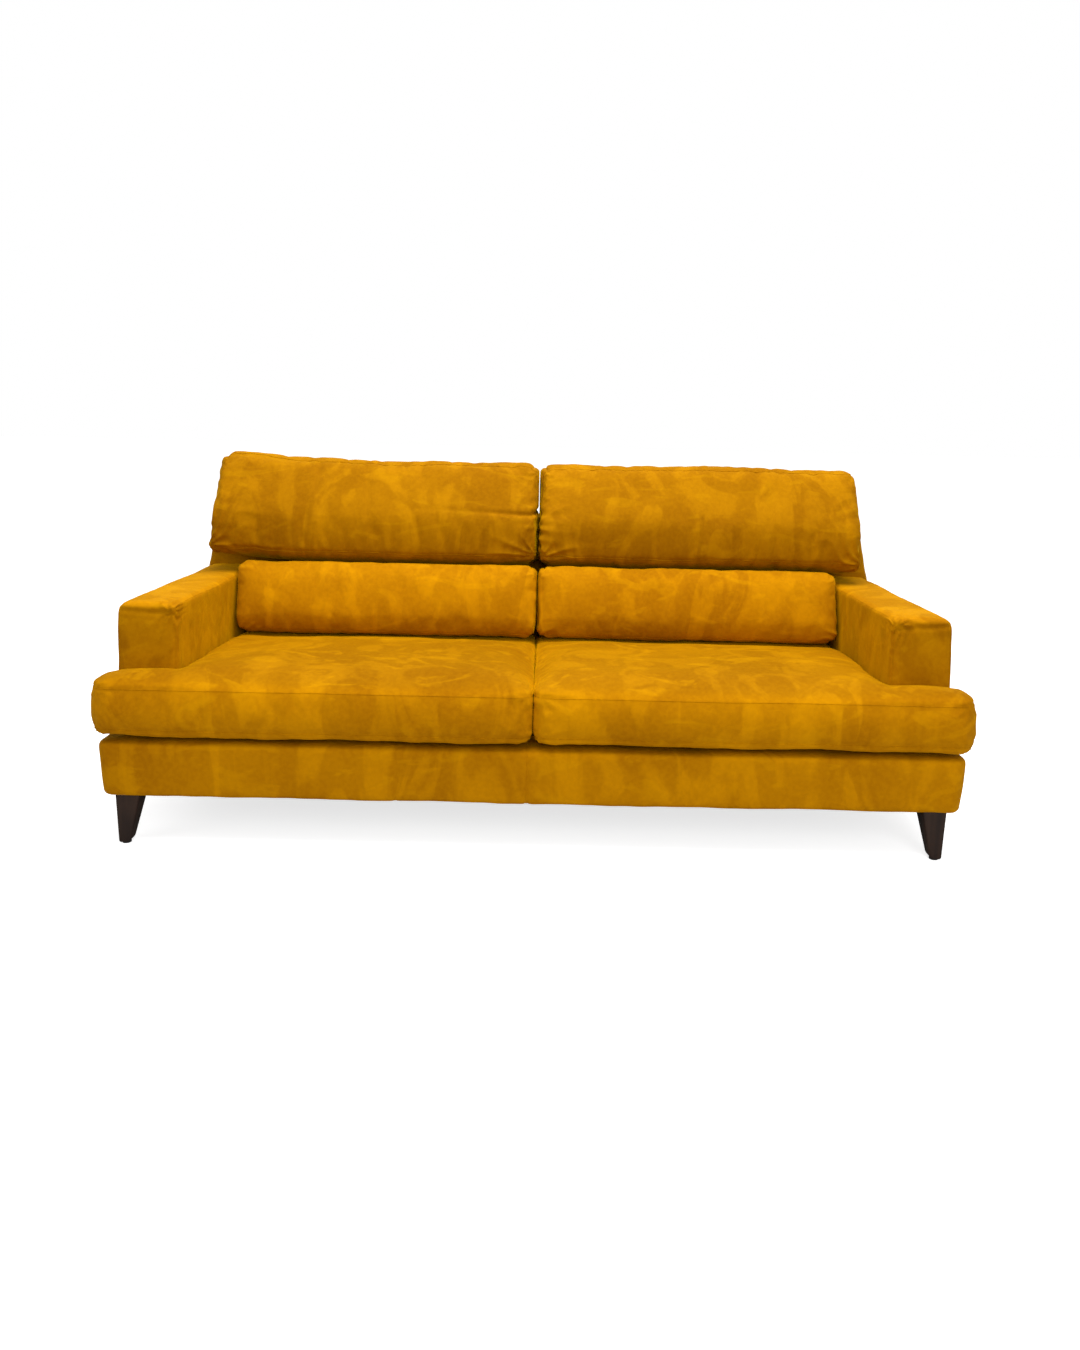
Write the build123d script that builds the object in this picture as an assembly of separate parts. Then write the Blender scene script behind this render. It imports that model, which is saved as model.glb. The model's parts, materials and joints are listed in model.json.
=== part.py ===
"""A two-seat-wide upholstered sofa on tapered wooden legs, in millimetres.

X runs to the sitter's left, so +X is on the right of someone facing the sofa. Y runs from the front
(negative) to the back, and Z is up. The origin is on the floor, under the middle of the sofa.
"left" and "right" in the names are those of someone facing the sofa.
"""

import os
from math import cos, radians, sin, tan

from build123d import *

# ---- driving dimensions -------------------------------------------------------------------------
DEPTH = 980.0  # front of the seat cushions to the rear of the back
HALF_WIDTH = 1112.0  # centre to the end of a seat cushion's ear
HEIGHT = 965.0  # floor to the top of the upper cushions

BASE_Z = 130.0  # underside of the upholstered base
BASE_TOP = 270.0  # where the arms and the back stand on the base
LIP_TOP = 275.0  # top of the base's front border
BASE_HALF_WIDTH = 1102.0  # at BASE_TOP
BASE_LEAN = 4.0  # degrees that the base's sides lean in towards the floor
BASE_FRONT = -475.0
BASE_REAR = 430.0
BASE_CORNER = 30.0  # plan radius of the base's corners
BASE_EDGE = 16.0  # rounding of the base's top edge
LIP_REAR = -385.0

ARM_INNER = 925.0
ARM_OUTER = 1086.0
ARM_FRONT = -380.0
ARM_TOP = 610.0
ARM_ROUND = 26.0

BACK_TOP = 785.0
BACK_HALF_TOP = 1060.0
BACK_SHOULDER = 600.0  # height where the back's sides start to lean in
RECLINE = 12.0  # degrees that the inside back leans from upright
INSIDE_BACK_Y = 310.0  # at arm height
OUTSIDE_BACK_FOOT = 423.0  # at BASE_TOP
OUTSIDE_BACK_HEAD = DEPTH / 2 + 3.8  # at BACK_TOP; its rounded edge ends at DEPTH / 2
BACK_ROUND = 26.0  # rounding of the back's top edges, front and rear
BACK_CORNER = 45.0  # rounding of its top corners, seen from the front

SEAT_SLOPE = 1.0  # degrees that the seat deck falls towards the back
DECK_FRONT_Z = 285.0  # deck height at BASE_FRONT
SEAT_THICK = 155.0
SEAT_EDGE = 22.0  # rounding of the seat cushions' top and bottom edges
SEAT_REAR = 232.0
DECK_REAR = 236.0
UPPER_HALF_WIDTH = 1028.0  # centre to the end of an upper cushion
EAR_REAR = -388.0
LUMBAR_FRONT_TOP = (95.0, 668.0)  # depth and height of the lumbar cushions' top front edge
LUMBAR_FRONT_FOOT = 42.0  # depth of their bottom front edge
UPPER_SET_BACK = 20.0  # from the lumbar cushions' front to the upper ones'

COVER = 3.0  # fabric with its wadding
PADDING = 18.0  # foam over the boards
GAP = 1.0  # clearance round each loose cushion
BACK_GAP = 5.0  # room behind a cushion for its zip

BOARD = 28.0  # thickness of the timber rails
HARDBOARD = 4.0
RAIL_Z = 133.0
FRONT_RAIL_TOP = 255.0
REAR_RAIL_TOP = 241.0
RAIL_HALF = 1056.0  # centre to the outer face of a side rail
FRONT_RAIL_Y = -441.0  # outer face
REAR_RAIL_Y = 396.0  # outer face
JOIST_TOP = 215.0
CORNER_BLOCK = 80.0  # along each rail
CORNER_BLOCK_HIGH = 90.0
BACK_POST_DEEP = 70.0
BACK_POST_SET_IN = 20.0  # from the outside back to the posts

WIRE_R = 2.0
SPRINGS_PER_SEAT = 4
SPRING_PITCH_X = 230.0
SPRING_FIRST_X = 112.0
SPRING_HALF_WIDE = 22.0
SPRING_STEP = 36.0

LEG_TOP_WIDE = 62.0
LEG_FOOT_WIDE = 29.0
LEG_OUTER_X = 1058.0
FRONT_LEG_Y = -455.0  # outer face
REAR_LEG_Y = 410.0  # outer face
LEG_FOOT_SET_IN = 7.0
LEG_CORNER = 6.0  # rounding of the upright edges
GLIDE_HIGH = 3.0
GLIDE_R = 11.0
TOE_ROUND = 4.0
BOLT_R = 4.0
BOLT_LONG = 80.0
BOLT_MIDDLE_Z = 135.0
PLATE_WIDE = 60.0

BIG = 3000.0
SIDES = {"left": -1, "right": 1}

parts = {}


# ---- helpers ------------------------------------------------------------------------------------
def block(x0, x1, y0, y1, z0, z1):
    """A box between two corners."""
    middle = ((x0 + x1) / 2, (y0 + y1) / 2, (z0 + z1) / 2)
    return Pos(*middle) * Box(x1 - x0, y1 - y0, z1 - z0)


def side_prism(points, x0, x1, rounds=None):
    """A profile of (y, z) points, each corner with its own radius, stretched from x0 to x1."""
    face = make_face(Polyline(*points, close=True))
    for (y, z), radius in rounds or []:
        corner = face.vertices().sort_by_distance((y, z, 0))[0]
        face = fillet(corner, radius)
    upright = Plane(origin=(x0, 0, 0), x_dir=(0, 1, 0), z_dir=(1, 0, 0))
    return extrude(upright * face, x1 - x0)


def mirrored(solid, side):
    """The right-hand solid itself, or its mirror image for the left."""
    return solid if side > 0 else mirror(solid, about=Plane.YZ)


def inside_back(z):
    """Depth of the inside back's face at a height."""
    return INSIDE_BACK_Y + (z - ARM_TOP) * tan(radians(RECLINE))


def outside_back(z):
    """Depth of the outside back's face at a height."""
    rise = (z - BASE_TOP) / (BACK_TOP - BASE_TOP)
    return OUTSIDE_BACK_FOOT + rise * (OUTSIDE_BACK_HEAD - OUTSIDE_BACK_FOOT)


def deck(y):
    """Height of the sloping seat deck at a depth."""
    return DECK_FRONT_Z - (y - BASE_FRONT) * tan(radians(SEAT_SLOPE))


def on_deck(shape):
    """Tips a shape drawn flat, with its front at BASE_FRONT on Z 0, onto the sloping deck."""
    return Pos(0, BASE_FRONT, DECK_FRONT_Z) * Rot(X=-SEAT_SLOPE) * Pos(0, -BASE_FRONT, 0) * shape


def deck_slab(half_width, y0, y1, below, thick):
    """A flat slab that lies a distance below the deck."""
    return on_deck(block(-half_width, half_width, y0, y1, -below - thick, -below))


# ---- base ---------------------------------------------------------------------------------------
def base_form(inset):
    """The base's outline, drawn in by inset, with the raised lip along its front."""
    high = LIP_TOP - BASE_Z
    lean = (BASE_TOP - BASE_Z) * tan(radians(BASE_LEAN))
    wide = 2 * (BASE_HALF_WIDTH - lean - inset)
    deep = BASE_REAR - BASE_FRONT - 2 * (lean + inset)
    middle_y = (BASE_REAR + BASE_FRONT) / 2
    outline = Pos(0, middle_y, BASE_Z) * RectangleRounded(wide, deep, BASE_CORNER)
    body = extrude(outline, high - inset, taper=-BASE_LEAN)
    top = body.faces().sort_by(Axis.Z)[-1]
    body = fillet(top.edges(), BASE_EDGE - inset)
    step = block(-BIG, BIG, LIP_REAR, BIG, BASE_TOP, BIG)
    return body - step


def make_base_covers():
    skin = base_form(0) - base_form(COVER)
    skin = skin & block(-BIG, BIG, -BIG, BIG, BASE_Z, BIG)
    lap = 60
    split_x = BASE_HALF_WIDTH - lap
    split_y = BASE_REAR - lap
    parts["base_front_cover"] = skin & block(-BIG, BIG, -BIG, LIP_REAR, 0, BIG)
    behind = skin & block(-BIG, BIG, LIP_REAR, BIG, 0, BASE_TOP)
    parts["base_rear_cover"] = behind & block(-BIG, BIG, split_y, BIG, 0, BIG)
    for name, side in SIDES.items():
        half = block(split_x, BIG, LIP_REAR, split_y, 0, BIG)
        parts[f"base_{name}_cover"] = behind & mirrored(half, side)


def make_base_foam():
    under_lip = block(-RAIL_HALF, RAIL_HALF, FRONT_RAIL_Y, LIP_REAR, 0, BASE_TOP)
    under_seat = block(-RAIL_HALF, RAIL_HALF, LIP_REAR, REAR_RAIL_Y, 0, BIG)
    foam = base_form(COVER) - under_lip - under_seat
    parts["base_foam"] = foam & block(-BIG, BIG, -BIG, BIG, RAIL_Z, BIG)


def make_dust_cover():
    lap = 3
    thick = 1.5
    inner = RAIL_HALF + lap
    sheet = block(-inner, inner, FRONT_RAIL_Y - lap, REAR_RAIL_Y + lap, RAIL_Z - thick, RAIL_Z)
    for x, y in leg_centres().values():
        half = PLATE_WIDE / 2 + 1
        sheet -= block(x - half, x + half, y - half, y + half, 0, BASE_TOP)
    parts["dust_cover"] = sheet


def make_base_rails():
    rear_inner = REAR_RAIL_Y - BOARD
    front_inner = FRONT_RAIL_Y + BOARD
    parts["front_rail"] = block(-RAIL_HALF, RAIL_HALF, FRONT_RAIL_Y, front_inner, RAIL_Z, FRONT_RAIL_TOP)
    parts["rear_rail"] = block(-RAIL_HALF, RAIL_HALF, rear_inner, REAR_RAIL_Y, RAIL_Z, REAR_RAIL_TOP)
    parts["centre_joist"] = block(-BOARD / 2, BOARD / 2, front_inner, rear_inner, RAIL_Z, JOIST_TOP)
    inner = RAIL_HALF - BOARD
    for name, side in SIDES.items():
        rail = block(inner, RAIL_HALF, front_inner, rear_inner, RAIL_Z, BASE_TOP)
        parts[f"{name}_side_rail"] = mirrored(rail, side)
    blocks = []
    for side in SIDES.values():
        for y, inward in ((front_inner, 1), (rear_inner, -1)):
            along_x = (inner - CORNER_BLOCK, y)
            along_y = (inner, y + inward * CORNER_BLOCK)
            corner = Polyline((inner, y), along_x, along_y, close=True)
            glued = extrude(Pos(0, 0, RAIL_Z) * make_face(corner), CORNER_BLOCK_HIGH, dir=(0, 0, 1))
            blocks.append(mirrored(glued, side))
    parts["corner_blocks"] = Compound(children=blocks)


# ---- seat suspension ----------------------------------------------------------------------------
def spring_places():
    return [
        side * (SPRING_FIRST_X + SPRING_PITCH_X * n)
        for side in SIDES.values()
        for n in range(SPRINGS_PER_SEAT)
    ]


def make_springs():
    """Sinuous springs, each a zigzag of wire from the front rail to the rear rail."""
    start = FRONT_RAIL_Y + BOARD / 2
    end = REAR_RAIL_Y - BOARD / 2
    turns = int((end - start) / SPRING_STEP)
    step = (end - start) / turns
    points = []
    for n in range(turns + 1):
        x = SPRING_HALF_WIDE * (-1) ** n
        points += [(x, start + n * step), (-x, start + n * step)]
    route = Polyline(*points)
    section = Plane(origin=route @ 0, z_dir=route % 0) * Circle(WIRE_R)
    wire = sweep(section, path=route, transition=Transition.RIGHT)
    low = PADDING + 2 * COVER
    springs = [on_deck(Pos(x, 0, -low) * wire) for x in spring_places()]
    parts["seat_springs"] = Compound(children=springs)
    clips = []
    clip_x, clip_y, clip_high = 9, 6, 8
    slack = 0.6
    for x in spring_places():
        for y, rail_top in ((start, FRONT_RAIL_TOP), (end, REAR_RAIL_TOP)):
            body = block(x - clip_x, x + clip_x, y - clip_y, y + clip_y, rail_top, rail_top + clip_high)
            groove = on_deck(Pos(x, y, -low) * Rot(Y=90) * Cylinder(WIRE_R + slack, 4 * clip_x))
            clips.append(body - groove)
    parts["spring_clips"] = Compound(children=clips)


def make_deck():
    half = ARM_INNER - 3
    parts["seat_platform"] = deck_slab(half, LIP_REAR + 1, DECK_REAR, 0, COVER)
    parts["seat_pad"] = deck_slab(half, LIP_REAR + 1, DECK_REAR, COVER, PADDING)


# ---- legs ---------------------------------------------------------------------------------------
def leg_centres():
    """Where each leg meets the base, by name."""
    half = LEG_TOP_WIDE / 2
    return {
        f"{end}_{name}_leg": (side * (LEG_OUTER_X - half), y)
        for name, side in SIDES.items()
        for end, y in (("front", FRONT_LEG_Y + half), ("rear", REAR_LEG_Y - half))
    }


def make_legs():
    """Tapered legs, steep outside and raked inside, each bolted up through the rail above it."""
    bolts = []
    plates = []
    glides = []
    toe = LEG_TOP_WIDE / 2 - LEG_FOOT_SET_IN - LEG_FOOT_WIDE / 2
    for name, (x, y) in leg_centres().items():
        foot_x = x + (toe if x > 0 else -toe)
        foot_y = y + (toe if y > 0 else -toe)
        head = Pos(x, y, BASE_Z) * RectangleRounded(LEG_TOP_WIDE, LEG_TOP_WIDE, LEG_CORNER)
        foot = Pos(foot_x, foot_y, GLIDE_HIGH) * RectangleRounded(LEG_FOOT_WIDE, LEG_FOOT_WIDE, LEG_CORNER)
        leg = loft([foot, head])
        leg = fillet(leg.faces().sort_by(Axis.Z)[0].edges(), TOE_ROUND)
        bolt = Pos(x, y, BOLT_MIDDLE_Z) * Cylinder(BOLT_R, BOLT_LONG)
        bolts.append(bolt)
        half = PLATE_WIDE / 2
        plates.append(block(x - half, x + half, y - half, y + half, BASE_Z, RAIL_Z) - bolt)
        glides.append(Pos(foot_x, foot_y, GLIDE_HIGH / 2) * Cylinder(GLIDE_R, GLIDE_HIGH))
        parts[name] = leg - bolt
        rail = "front_rail" if y < 0 else "rear_rail"
        parts[rail] -= bolt
    parts["leg_bolts"] = Compound(children=bolts)
    parts["leg_plates"] = Compound(children=plates)
    parts["leg_glides"] = Compound(children=glides)


# ---- arms ---------------------------------------------------------------------------------------
def arm_form(inset, top_inset=None):
    """The right arm's outline drawn in by inset, open to the base below and to the back behind."""
    down = inset if top_inset is None else top_inset
    top = ARM_TOP - down
    front = ARM_FRONT + inset
    profile = [(front, BASE_TOP), (front, top), (inside_back(top), top), (inside_back(BASE_TOP), BASE_TOP)]
    arm = side_prism(profile, ARM_INNER + inset, ARM_OUTER - inset)
    radius = ARM_ROUND - inset
    if radius > 1:
        upright = arm.faces().sort_by(Axis.Y)[0].edges().filter_by(Axis.Z)
        along = arm.faces().sort_by(Axis.Z)[-1].edges()
        along = [e for e in along if e.center().Y < inside_back(top) - 5]
        arm = fillet(list(upright) + along, radius)
    return arm


def make_arms():
    cavity_in = COVER + PADDING
    front = ARM_FRONT + cavity_in
    x0 = ARM_INNER + cavity_in
    x1 = ARM_OUTER - cavity_in
    top = ARM_TOP - cavity_in
    rear = inside_back(BASE_TOP) - 10
    hollow = block(x0, x1, front, BIG, 0, top)
    shell = arm_form(0) - arm_form(COVER)
    foam = arm_form(COVER) - hollow
    under = top - 20
    rails = []
    posts = []
    panels = []
    for name, side in SIDES.items():
        parts[f"{name}_arm_cover"] = mirrored(shell, side)
        parts[f"{name}_arm_foam"] = mirrored(foam, side)
        rail = block(x0 + HARDBOARD, x1 - HARDBOARD, front, rear, under, top)
        rails.append(mirrored(rail, side))
        for y in (front, rear - BOARD):
            post = block(x0 + HARDBOARD, x1 - HARDBOARD, y, y + BOARD, BASE_TOP, under)
            posts.append(mirrored(post, side))
        for x in (x0, x1 - HARDBOARD):
            board = block(x, x + HARDBOARD, front, rear, BASE_TOP, top)
            panels.append(mirrored(board, side))
    parts["arm_top_rails"] = Compound(children=rails)
    parts["arm_posts"] = Compound(children=posts)
    parts["arm_panels"] = Compound(children=panels)


# ---- back ---------------------------------------------------------------------------------------
def back_outline(inset):
    """The back seen from the front, drawn in by inset, as a prism through the sofa."""
    low = ARM_OUTER - inset
    high = BACK_HALF_TOP - inset
    top = BACK_TOP - inset
    right = [(high, top), (low, BACK_SHOULDER), (low, BASE_TOP)]
    left = [(-x, z) for x, z in reversed(right)]
    face = make_face(Polyline(*left, *right, close=True))
    corners = face.vertices().sort_by(Axis.Y)[-2:]
    face = fillet(corners, BACK_CORNER - inset)
    return extrude(Plane.XZ * face, BIG, both=True)


def back_form(inset):
    """The back's outline drawn in by inset, open to the base below."""
    top = BACK_TOP - inset
    profile = [
        (inside_back(BASE_TOP) + inset, BASE_TOP),
        (inside_back(top) + inset, top),
        (outside_back(top) - inset, top),
        (outside_back(BASE_TOP) - inset, BASE_TOP),
    ]
    rounds = [(profile[1], BACK_ROUND - inset), (profile[2], BACK_ROUND - inset)]
    return side_prism(profile, -BIG, BIG, rounds) & back_outline(inset)


def post_front(z):
    return outside_back(z) - BACK_POST_SET_IN - BACK_POST_DEEP


def back_ladder(x0, x1, z0, z1):
    """A piece of the back's timber ladder between two heights."""
    profile = [(post_front(z), z) for z in (z0, z1)]
    profile += [(z_y + BACK_POST_DEEP, z) for z_y, z in reversed(profile)]
    return side_prism(profile, x0, x1)


def make_back():
    belt = 2.0
    belt_wide = 50.0
    belt_first, belt_pitch, belts_per_side = 120, 200, 5
    belt_set_in = 4
    ladder_top = BACK_TOP - COVER - PADDING
    post_top = ladder_top - BOARD
    post_foot = BASE_TOP + BOARD
    post_outer = BACK_HALF_TOP - COVER - PADDING - 4
    skin = back_form(0) - back_form(COVER)
    flap_depths = ((0, COVER), (BIG, COVER), (BIG, -BIG), (0, -BIG))
    rear_flap = side_prism([(outside_back(z) - d, z) for z, d in flap_depths], -BIG, BIG)
    parts["back_outer_cover"] = skin & rear_flap
    parts["back_inner_cover"] = skin - rear_flap
    hollow_points = [(post_front(z) - belt, z) for z in (BASE_TOP, ladder_top)]
    hollow_points += [(outside_back(z) - COVER, z) for z in (ladder_top, BASE_TOP)]
    hollow = side_prism(hollow_points, -BIG, BIG) & back_outline(COVER + PADDING)
    parts["back_foam"] = back_form(COVER) - hollow
    parts["back_lower_rail"] = back_ladder(-RAIL_HALF, RAIL_HALF, BASE_TOP, post_foot)
    top_rail = back_ladder(-post_outer, post_outer, post_top, ladder_top)
    parts["back_top_rail"] = top_rail & back_outline(COVER + PADDING + 1)
    parts["back_centre_post"] = back_ladder(-BOARD / 2, BOARD / 2, post_foot, post_top)
    for name, side in SIDES.items():
        post = back_ladder(post_outer - BOARD, post_outer, post_foot, post_top)
        parts[f"back_{name}_post"] = mirrored(post, side)
    foot, head = BASE_TOP + belt_set_in, ladder_top - belt_set_in
    strip = [(post_front(z) - d, z) for z, d in ((foot, belt), (foot, 0), (head, 0), (head, belt))]
    places = [
        side * (belt_first + belt_pitch * n)
        for side in SIDES.values()
        for n in range(belts_per_side)
    ]
    belts = [side_prism(strip, x - belt_wide / 2, x + belt_wide / 2) for x in places]
    parts["back_webbing"] = Compound(children=belts)


# ---- frame screws -------------------------------------------------------------------------------
def make_screws():
    """Wood screws through the ends of the rails, the arm posts and the back's ladder."""
    shank = 2.5
    long = 60.0
    head = Cylinder(4.5, 3)
    upright = Pos(0, 0, -long / 2) * Cylinder(shank, long) + Pos(0, 0, 1.5) * head
    screws = []
    for side in SIDES.values():
        x = side * (RAIL_HALF - BOARD / 2)
        for z in (165, 210):
            screws.append(Pos(x, FRONT_RAIL_Y + 3, z) * Rot(X=90) * Pos(0, 0, -3) * upright)
            screws.append(Pos(x, REAR_RAIL_Y - 3, z) * Rot(X=-90) * Pos(0, 0, -3) * upright)
        foot_y = post_front(BASE_TOP + BOARD) + BACK_POST_DEEP / 2
        screws.append(Pos(x, foot_y, BASE_TOP + BOARD - 3) * upright)
    drilled = ("front_rail", "rear_rail", "left_side_rail", "right_side_rail", "back_lower_rail")
    for name in drilled:
        for screw in screws:
            parts[name] -= screw
    parts["frame_screws"] = Compound(children=screws)


# ---- cushions -----------------------------------------------------------------------------------
def zip_pieces(length):
    """A zip lying flat along X, its tape in the cover and its slider standing out towards +Z."""
    tape = Pos(0, 0, -1) * Box(length, 16, 2)
    teeth = Pos(0, 0, 0.5) * Box(length - 16, 5, 1)
    slider_x = length / 2 - 30
    slider = Pos(slider_x, 0, 2) * Box(12, 8, 2)
    tab = Pos(slider_x - 16, 0, 1.5) * Box(20, 6, 1)
    return [tape + teeth, slider, tab]


def add_cushion(name, side, form, zip_place, zip_length):
    """A cushion's cover, its filling and the zip in its rear wall."""
    core = form(COVER)
    fastener = zip_pieces(zip_length)
    slot = zip_place * Pos(0, 0, -COVER / 2) * Box(zip_length, 16, COVER + 1)
    cover = form(0) - core - slot
    placed = [zip_place * piece for piece in fastener]
    parts[f"{name}_cover"] = mirrored(cover, side)
    parts[f"{name}_core"] = mirrored(core, side)
    parts[f"{name}_zip"] = Compound(children=[mirrored(p, side) for p in placed])


def seat_form(inset):
    """The right seat cushion: a slab with an ear that wraps the front of the arm."""
    slope = radians(SEAT_SLOPE)
    overhang = (DEPTH / 2 + BASE_FRONT + (GAP + SEAT_EDGE) * sin(slope)) / cos(slope)
    front = BASE_FRONT - overhang + inset
    points = [
        (GAP + inset, front),
        (HALF_WIDTH - inset, front),
        (HALF_WIDTH - inset, EAR_REAR - inset),
        (ARM_INNER - 2 * GAP - inset, EAR_REAR - inset),
        (ARM_INNER - 2 * GAP - inset, SEAT_REAR - inset),
        (GAP + inset, SEAT_REAR - inset),
    ]
    plan = make_face(Polyline(*points, close=True))
    for n, radius in ((0, 40), (1, 45), (2, 30), (4, 40), (5, 40)):
        corner = plan.vertices().sort_by_distance((*points[n], 0))[0]
        plan = fillet(corner, radius - inset)
    slab = extrude(Pos(0, 0, GAP + inset) * plan, SEAT_THICK - 2 * inset)
    for end in (0, -1):
        rim = slab.faces().sort_by(Axis.Z)[end].edges()
        slab = fillet(rim, SEAT_EDGE - inset)
    return on_deck(slab)


def seat_top(y):
    return deck(y) + (SEAT_THICK + GAP) / cos(radians(SEAT_SLOPE))


def reclined_rear(front_y, front_z):
    """Where a joint that runs square to the inside back from a front edge meets that back."""
    slope = tan(radians(RECLINE))
    z = (front_z + (front_y + BACK_GAP - INSIDE_BACK_Y + ARM_TOP * slope) * slope) / (1 + slope**2)
    return inside_back(z) - BACK_GAP, z


def cushion_prism(profile, rounds, x0, x1, end_round):
    """A cushion of one profile, with the edges of both its ends rounded."""
    body = side_prism(profile, x0, x1, list(zip(profile, rounds)))
    ends = body.faces().sort_by(Axis.X)
    rim = [*ends[0].edges(), *ends[-1].edges()]
    return fillet(rim, end_round)


def lumbar_form(inset):
    """The right lumbar cushion, which stands on the seat and leans on the inside back."""
    front_y, top_z = LUMBAR_FRONT_TOP
    foot_z = seat_top(SEAT_REAR) + 2 * GAP
    rear_foot = (inside_back(foot_z) - BACK_GAP - inset, foot_z + inset)
    front_foot = (LUMBAR_FRONT_FOOT + inset, seat_top(LUMBAR_FRONT_FOOT) + GAP + inset)
    rear_y, rear_z = reclined_rear(front_y, top_z)
    profile = [rear_foot, front_foot, (front_y + inset, top_z - inset), (rear_y - inset, rear_z - inset)]
    rounds = [18 - inset, 50 - inset, 40 - inset, 18 - inset]
    x1 = ARM_INNER - 2 * GAP - inset
    return cushion_prism(profile, rounds, 1.5 * GAP + inset, x1, 15 - inset)


def upper_form(inset):
    """The right upper cushion, which sits on the lumbar cushion and tops the back."""
    front_y = LUMBAR_FRONT_TOP[0] + UPPER_SET_BACK
    foot_z = LUMBAR_FRONT_TOP[1] + 2 * GAP - UPPER_SET_BACK * tan(radians(RECLINE))
    rear_y, rear_z = reclined_rear(front_y, foot_z)
    over_back = BACK_TOP + 8
    profile = [
        (rear_y - inset, rear_z + inset),
        (front_y + inset, foot_z + inset),
        (front_y + inset, foot_z + 110),
        (250 + inset, HEIGHT - inset),
        (345 - inset, HEIGHT - inset),
        (400 - inset, over_back + 60),
        (inside_back(over_back) - BACK_GAP - inset, over_back),
    ]
    rounds = [18 - inset, 45 - inset, 60, 50 - inset, 40 - inset, 30, 40]
    return cushion_prism(profile, rounds, 1.5 * GAP + inset, UPPER_HALF_WIDTH - inset, 25 - inset)


def make_cushions():
    rear_face = Rot(X=-90)
    seat_middle = (ARM_INNER + GAP) / 2
    seat_zip = on_deck(Pos(seat_middle, SEAT_REAR, SEAT_THICK / 2) * rear_face)
    lumbar_z, upper_z = 540, 700
    lumbar_y = inside_back(lumbar_z) - BACK_GAP
    lumbar_zip = Pos(seat_middle, lumbar_y, lumbar_z) * Rot(X=-RECLINE) * rear_face
    upper_y = inside_back(upper_z) - BACK_GAP
    upper_zip = Pos(UPPER_HALF_WIDTH / 2, upper_y, upper_z) * Rot(X=-RECLINE) * rear_face
    for name, side in SIDES.items():
        add_cushion(f"{name}_seat", side, seat_form, seat_zip, 700)
        add_cushion(f"{name}_lumbar", side, lumbar_form, lumbar_zip, 640)
        add_cushion(f"{name}_upper", side, upper_form, upper_zip, 700)


# ---- build --------------------------------------------------------------------------------------
make_base_covers()
make_base_foam()
make_dust_cover()
make_base_rails()
make_springs()
make_deck()
make_legs()
make_arms()
make_back()
make_screws()
make_cushions()

os.makedirs("parts", exist_ok=True)
for node, shape in parts.items():
    export_step(shape, f"parts/{node}.step")
print(len(parts), "nodes")
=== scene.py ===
"""Looks for an upholstered velvet sofa on tapered wooden legs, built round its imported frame."""

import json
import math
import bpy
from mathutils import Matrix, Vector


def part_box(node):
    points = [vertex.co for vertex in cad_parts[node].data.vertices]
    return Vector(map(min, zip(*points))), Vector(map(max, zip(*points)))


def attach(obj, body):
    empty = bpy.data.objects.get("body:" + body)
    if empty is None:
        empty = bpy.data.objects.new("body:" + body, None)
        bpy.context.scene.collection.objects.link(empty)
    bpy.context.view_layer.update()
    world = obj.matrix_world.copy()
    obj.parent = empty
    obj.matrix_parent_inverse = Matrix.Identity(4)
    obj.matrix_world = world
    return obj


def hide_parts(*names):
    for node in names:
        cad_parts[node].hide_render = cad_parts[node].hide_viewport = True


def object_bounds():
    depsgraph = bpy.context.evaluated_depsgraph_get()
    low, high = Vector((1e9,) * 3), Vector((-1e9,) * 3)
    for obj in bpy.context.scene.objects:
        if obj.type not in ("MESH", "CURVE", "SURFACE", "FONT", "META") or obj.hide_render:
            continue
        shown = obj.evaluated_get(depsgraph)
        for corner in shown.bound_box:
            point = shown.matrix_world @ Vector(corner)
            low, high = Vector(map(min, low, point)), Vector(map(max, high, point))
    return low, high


bl_info = {
    "name": "Velvet Sofa",
    "version": (1, 0, 0),
    "blender": (4, 5, 0),
    "location": "3D View > Sidebar > Sofa",
    "description": "Dresses the sofa's frame in cushions, upholstery, seams and wooden legs",
    "category": "Add Mesh",
}

import bmesh
import bpy
import numpy as np
from mathutils import Matrix, Vector
from mathutils.bvhtree import BVHTree

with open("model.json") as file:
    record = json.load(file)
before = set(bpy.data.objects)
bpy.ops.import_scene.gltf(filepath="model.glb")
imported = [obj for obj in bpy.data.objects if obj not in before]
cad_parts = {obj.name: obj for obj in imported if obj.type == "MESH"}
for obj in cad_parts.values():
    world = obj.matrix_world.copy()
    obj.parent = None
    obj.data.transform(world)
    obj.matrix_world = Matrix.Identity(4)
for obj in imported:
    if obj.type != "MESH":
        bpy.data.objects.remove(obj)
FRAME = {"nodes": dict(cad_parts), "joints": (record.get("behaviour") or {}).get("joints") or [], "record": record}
CAD_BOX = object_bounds()
SIDES = {"left": -1, "right": 1}
SLOT_OF = {part["node"]: part["material_slot"] for part in FRAME["record"]["subparts"]}


# ---- places taken from the frame ----
def low(node):
    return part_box(node)[0]


def high(node):
    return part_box(node)[1]


def joint_axis(name):
    return Vector(next(j["axis"] for j in FRAME["joints"] if j["name"] == name))


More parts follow.
